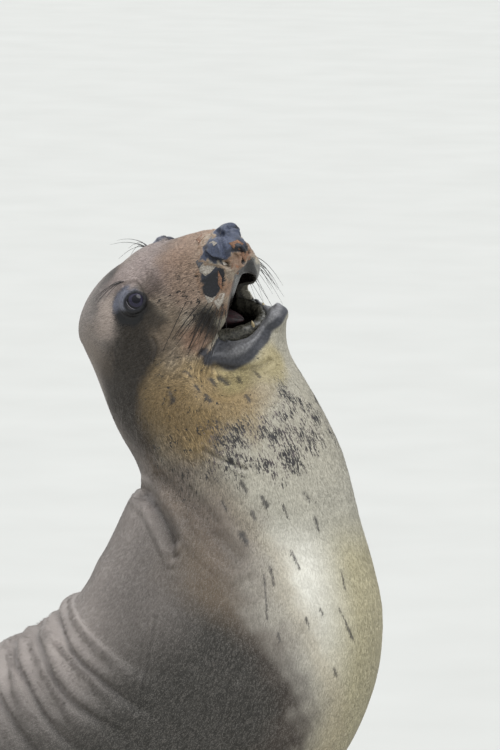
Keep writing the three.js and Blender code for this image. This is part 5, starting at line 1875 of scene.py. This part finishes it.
def whisker(root, out, length, way, width):
    """A hair that leaves the skin outwards and bends over to lie along the way given."""
    t = np.linspace(0, 1, WHISKER_STEPS + 1)[:, None]
    way = unit(way)
    raised = out * length * 0.62 * (t - 0.5 * t * t)
    line = root - out * 0.003 + raised + way * length * (0.22 * t + 0.78 * t ** 1.5)
    radii = width * (1 - 0.8 * t[:, 0])
    return tube(line, radii, 4)


def all_whiskers():
    """Whiskers in rows on the pads, and a few hairs over each eye."""
    rng = np.random.default_rng(SEED)
    whiskers = []
    for side in (-1, 1):
        for row, (height, count) in enumerate(WHISKER_ROWS):
            for n in range(count):
                f = WHISKER_FROM + WHISKER_STEP * n + WHISKER_SHIFT * (row % 2) + rng.normal(0, 0.0012)
                root, out = on_head(f, side * WHISKER_SIDE, height - WHISKER_DROP * n + rng.normal(0, 0.001))
                swept, turned = WHISKER_WAYS[side]
                local = np.array(swept) + (turned * n, 0, 0) + rng.normal(0, WHISKER_STRAY, 3)
                length = (WHISKER_LENGTH - WHISKER_SHORTER * n) * rng.uniform(0.6, 1.15)
                whiskers.append(whisker(root, out, length, HEAD_AXES @ local, WHISKER_WIDTH))
        for _ in range(BROW_HAIRS):
            spread = rng.normal(0, 0.004, 2)
            root, out = on_head(BROW_AT[0] + spread[0], side * BROW_AT[1], BROW_AT[2] + spread[1])
            local = np.array(BROW_WAY) * (1, side, 1) + rng.normal(0, BROW_STRAY, 3)
            length = BROW_LENGTH * rng.uniform(0.6, 1.1)
            whiskers.append(whisker(root, out, length, HEAD_AXES @ local, BROW_WIDTH))
    return whiskers


whisker_finish = simple_material("whisker", (0.022, 0.018, 0.016), (0.008, 0.007, 0.007), 90, 0.4, 0.1)
piece("whiskers", all_whiskers(), whisker_finish, "coat_face")


# Scraps of old skin on the nose
def flap(outline, lifts):
    """A thin curled scrap over the pixels of its outline; each corner is lifted off the skin."""
    hits = [(spot(pixel), lift) for pixel, lift in zip(outline, lifts)]
    hits = [(hit[0], hit[1], lift) for hit, lift in hits if hit is not None]
    corners = np.array([place + way * lift for place, way, lift in hits])
    out = unit(np.mean([way for place, way, lift in hits], axis=0))
    count = len(corners)
    middle = corners.mean(0) + out * FLAP_RISE
    halfway = (corners + middle) / 2 + out * FLAP_WAVE * np.sin(np.arange(count) * 2.3)[:, None]
    top = np.concatenate([corners, halfway, [middle]])
    points = np.concatenate([top, top - out * FLAP_THICK])
    faces = []
    under = len(top)
    for k in range(count):
        n = (k + 1) % count
        faces.append((k, n, count + n, count + k))
        faces.append((count + k, count + n, 2 * count))
        faces.append((under + k, under + count + k, under + count + n, under + n))
        faces.append((under + count + k, under + 2 * count, under + count + n))
        faces.append((n, k, under + k, under + n))
    return points, faces


peel_finish = {
    "pale": simple_material("peel_pale", (0.46, 0.42, 0.36), (0.22, 0.19, 0.16), 500, 0.7, 0.5),
    "rust": simple_material("peel_rust", (0.30, 0.15, 0.08), (0.10, 0.06, 0.045), 500, 0.7, 0.5),
    "slate": simple_material("peel_slate", (0.12, 0.12, 0.13), (0.04, 0.04, 0.045), 500, 0.5, 0.5),
}
for tint, finish in peel_finish.items():
    scraps = [flap(outline, lifts) for kind, outline, lifts in FLAPS if kind == tint]
    piece("peel_" + tint, scraps, finish, "coat_face")


# Floor and light
def make_floor():
    corners = [(x * FLOOR_HALF, y * FLOOR_HALF, 0) for x, y in ((-1, -1), (1, -1), (1, 1), (-1, 1))]
    floor = new_object("floor", corners, [(0, 1, 2, 3)])
    m = Maker("floor")
    grain = m.noise(m.position(), (3, 3, 3), 2.0, 0.5)
    floor.data.materials.append(m.finish(m.mix(grain, *FLOOR_COLOURS), 0.95, 0.1))


def make_sun(name, azimuth, elevation, soft, power):
    data = bpy.data.lights.new(name, "SUN")
    data.energy = power
    data.angle = math.radians(soft)
    placed(name, data).rotation_euler = way_from(azimuth, elevation).to_track_quat("Z", "Y").to_euler()


def make_sky():
    world = bpy.data.worlds.new("world")
    world.use_nodes = True
    nodes, links = world.node_tree.nodes, world.node_tree.links
    place = nodes.new("ShaderNodeTexCoord")
    parts = nodes.new("ShaderNodeSeparateXYZ")
    height = nodes.new("ShaderNodeMapRange")
    for index, number in enumerate((SKY_FROM, SKY_TO, SKY_LOW, SKY_HIGH)):
        height.inputs[index + 1].default_value = number
    back = nodes["Background"]
    back.inputs[0].default_value = SKY_COLOUR
    links.new(place.outputs["Generated"], parts.inputs[0])
    links.new(parts.outputs[2], height.inputs[0])
    links.new(height.outputs[0], back.inputs[1])
    bpy.context.scene.world = world


make_floor()
for name, facts in SUNS.items():
    make_sun(name, *facts)
make_sky()
bpy.context.scene.view_settings.view_transform = "Standard"
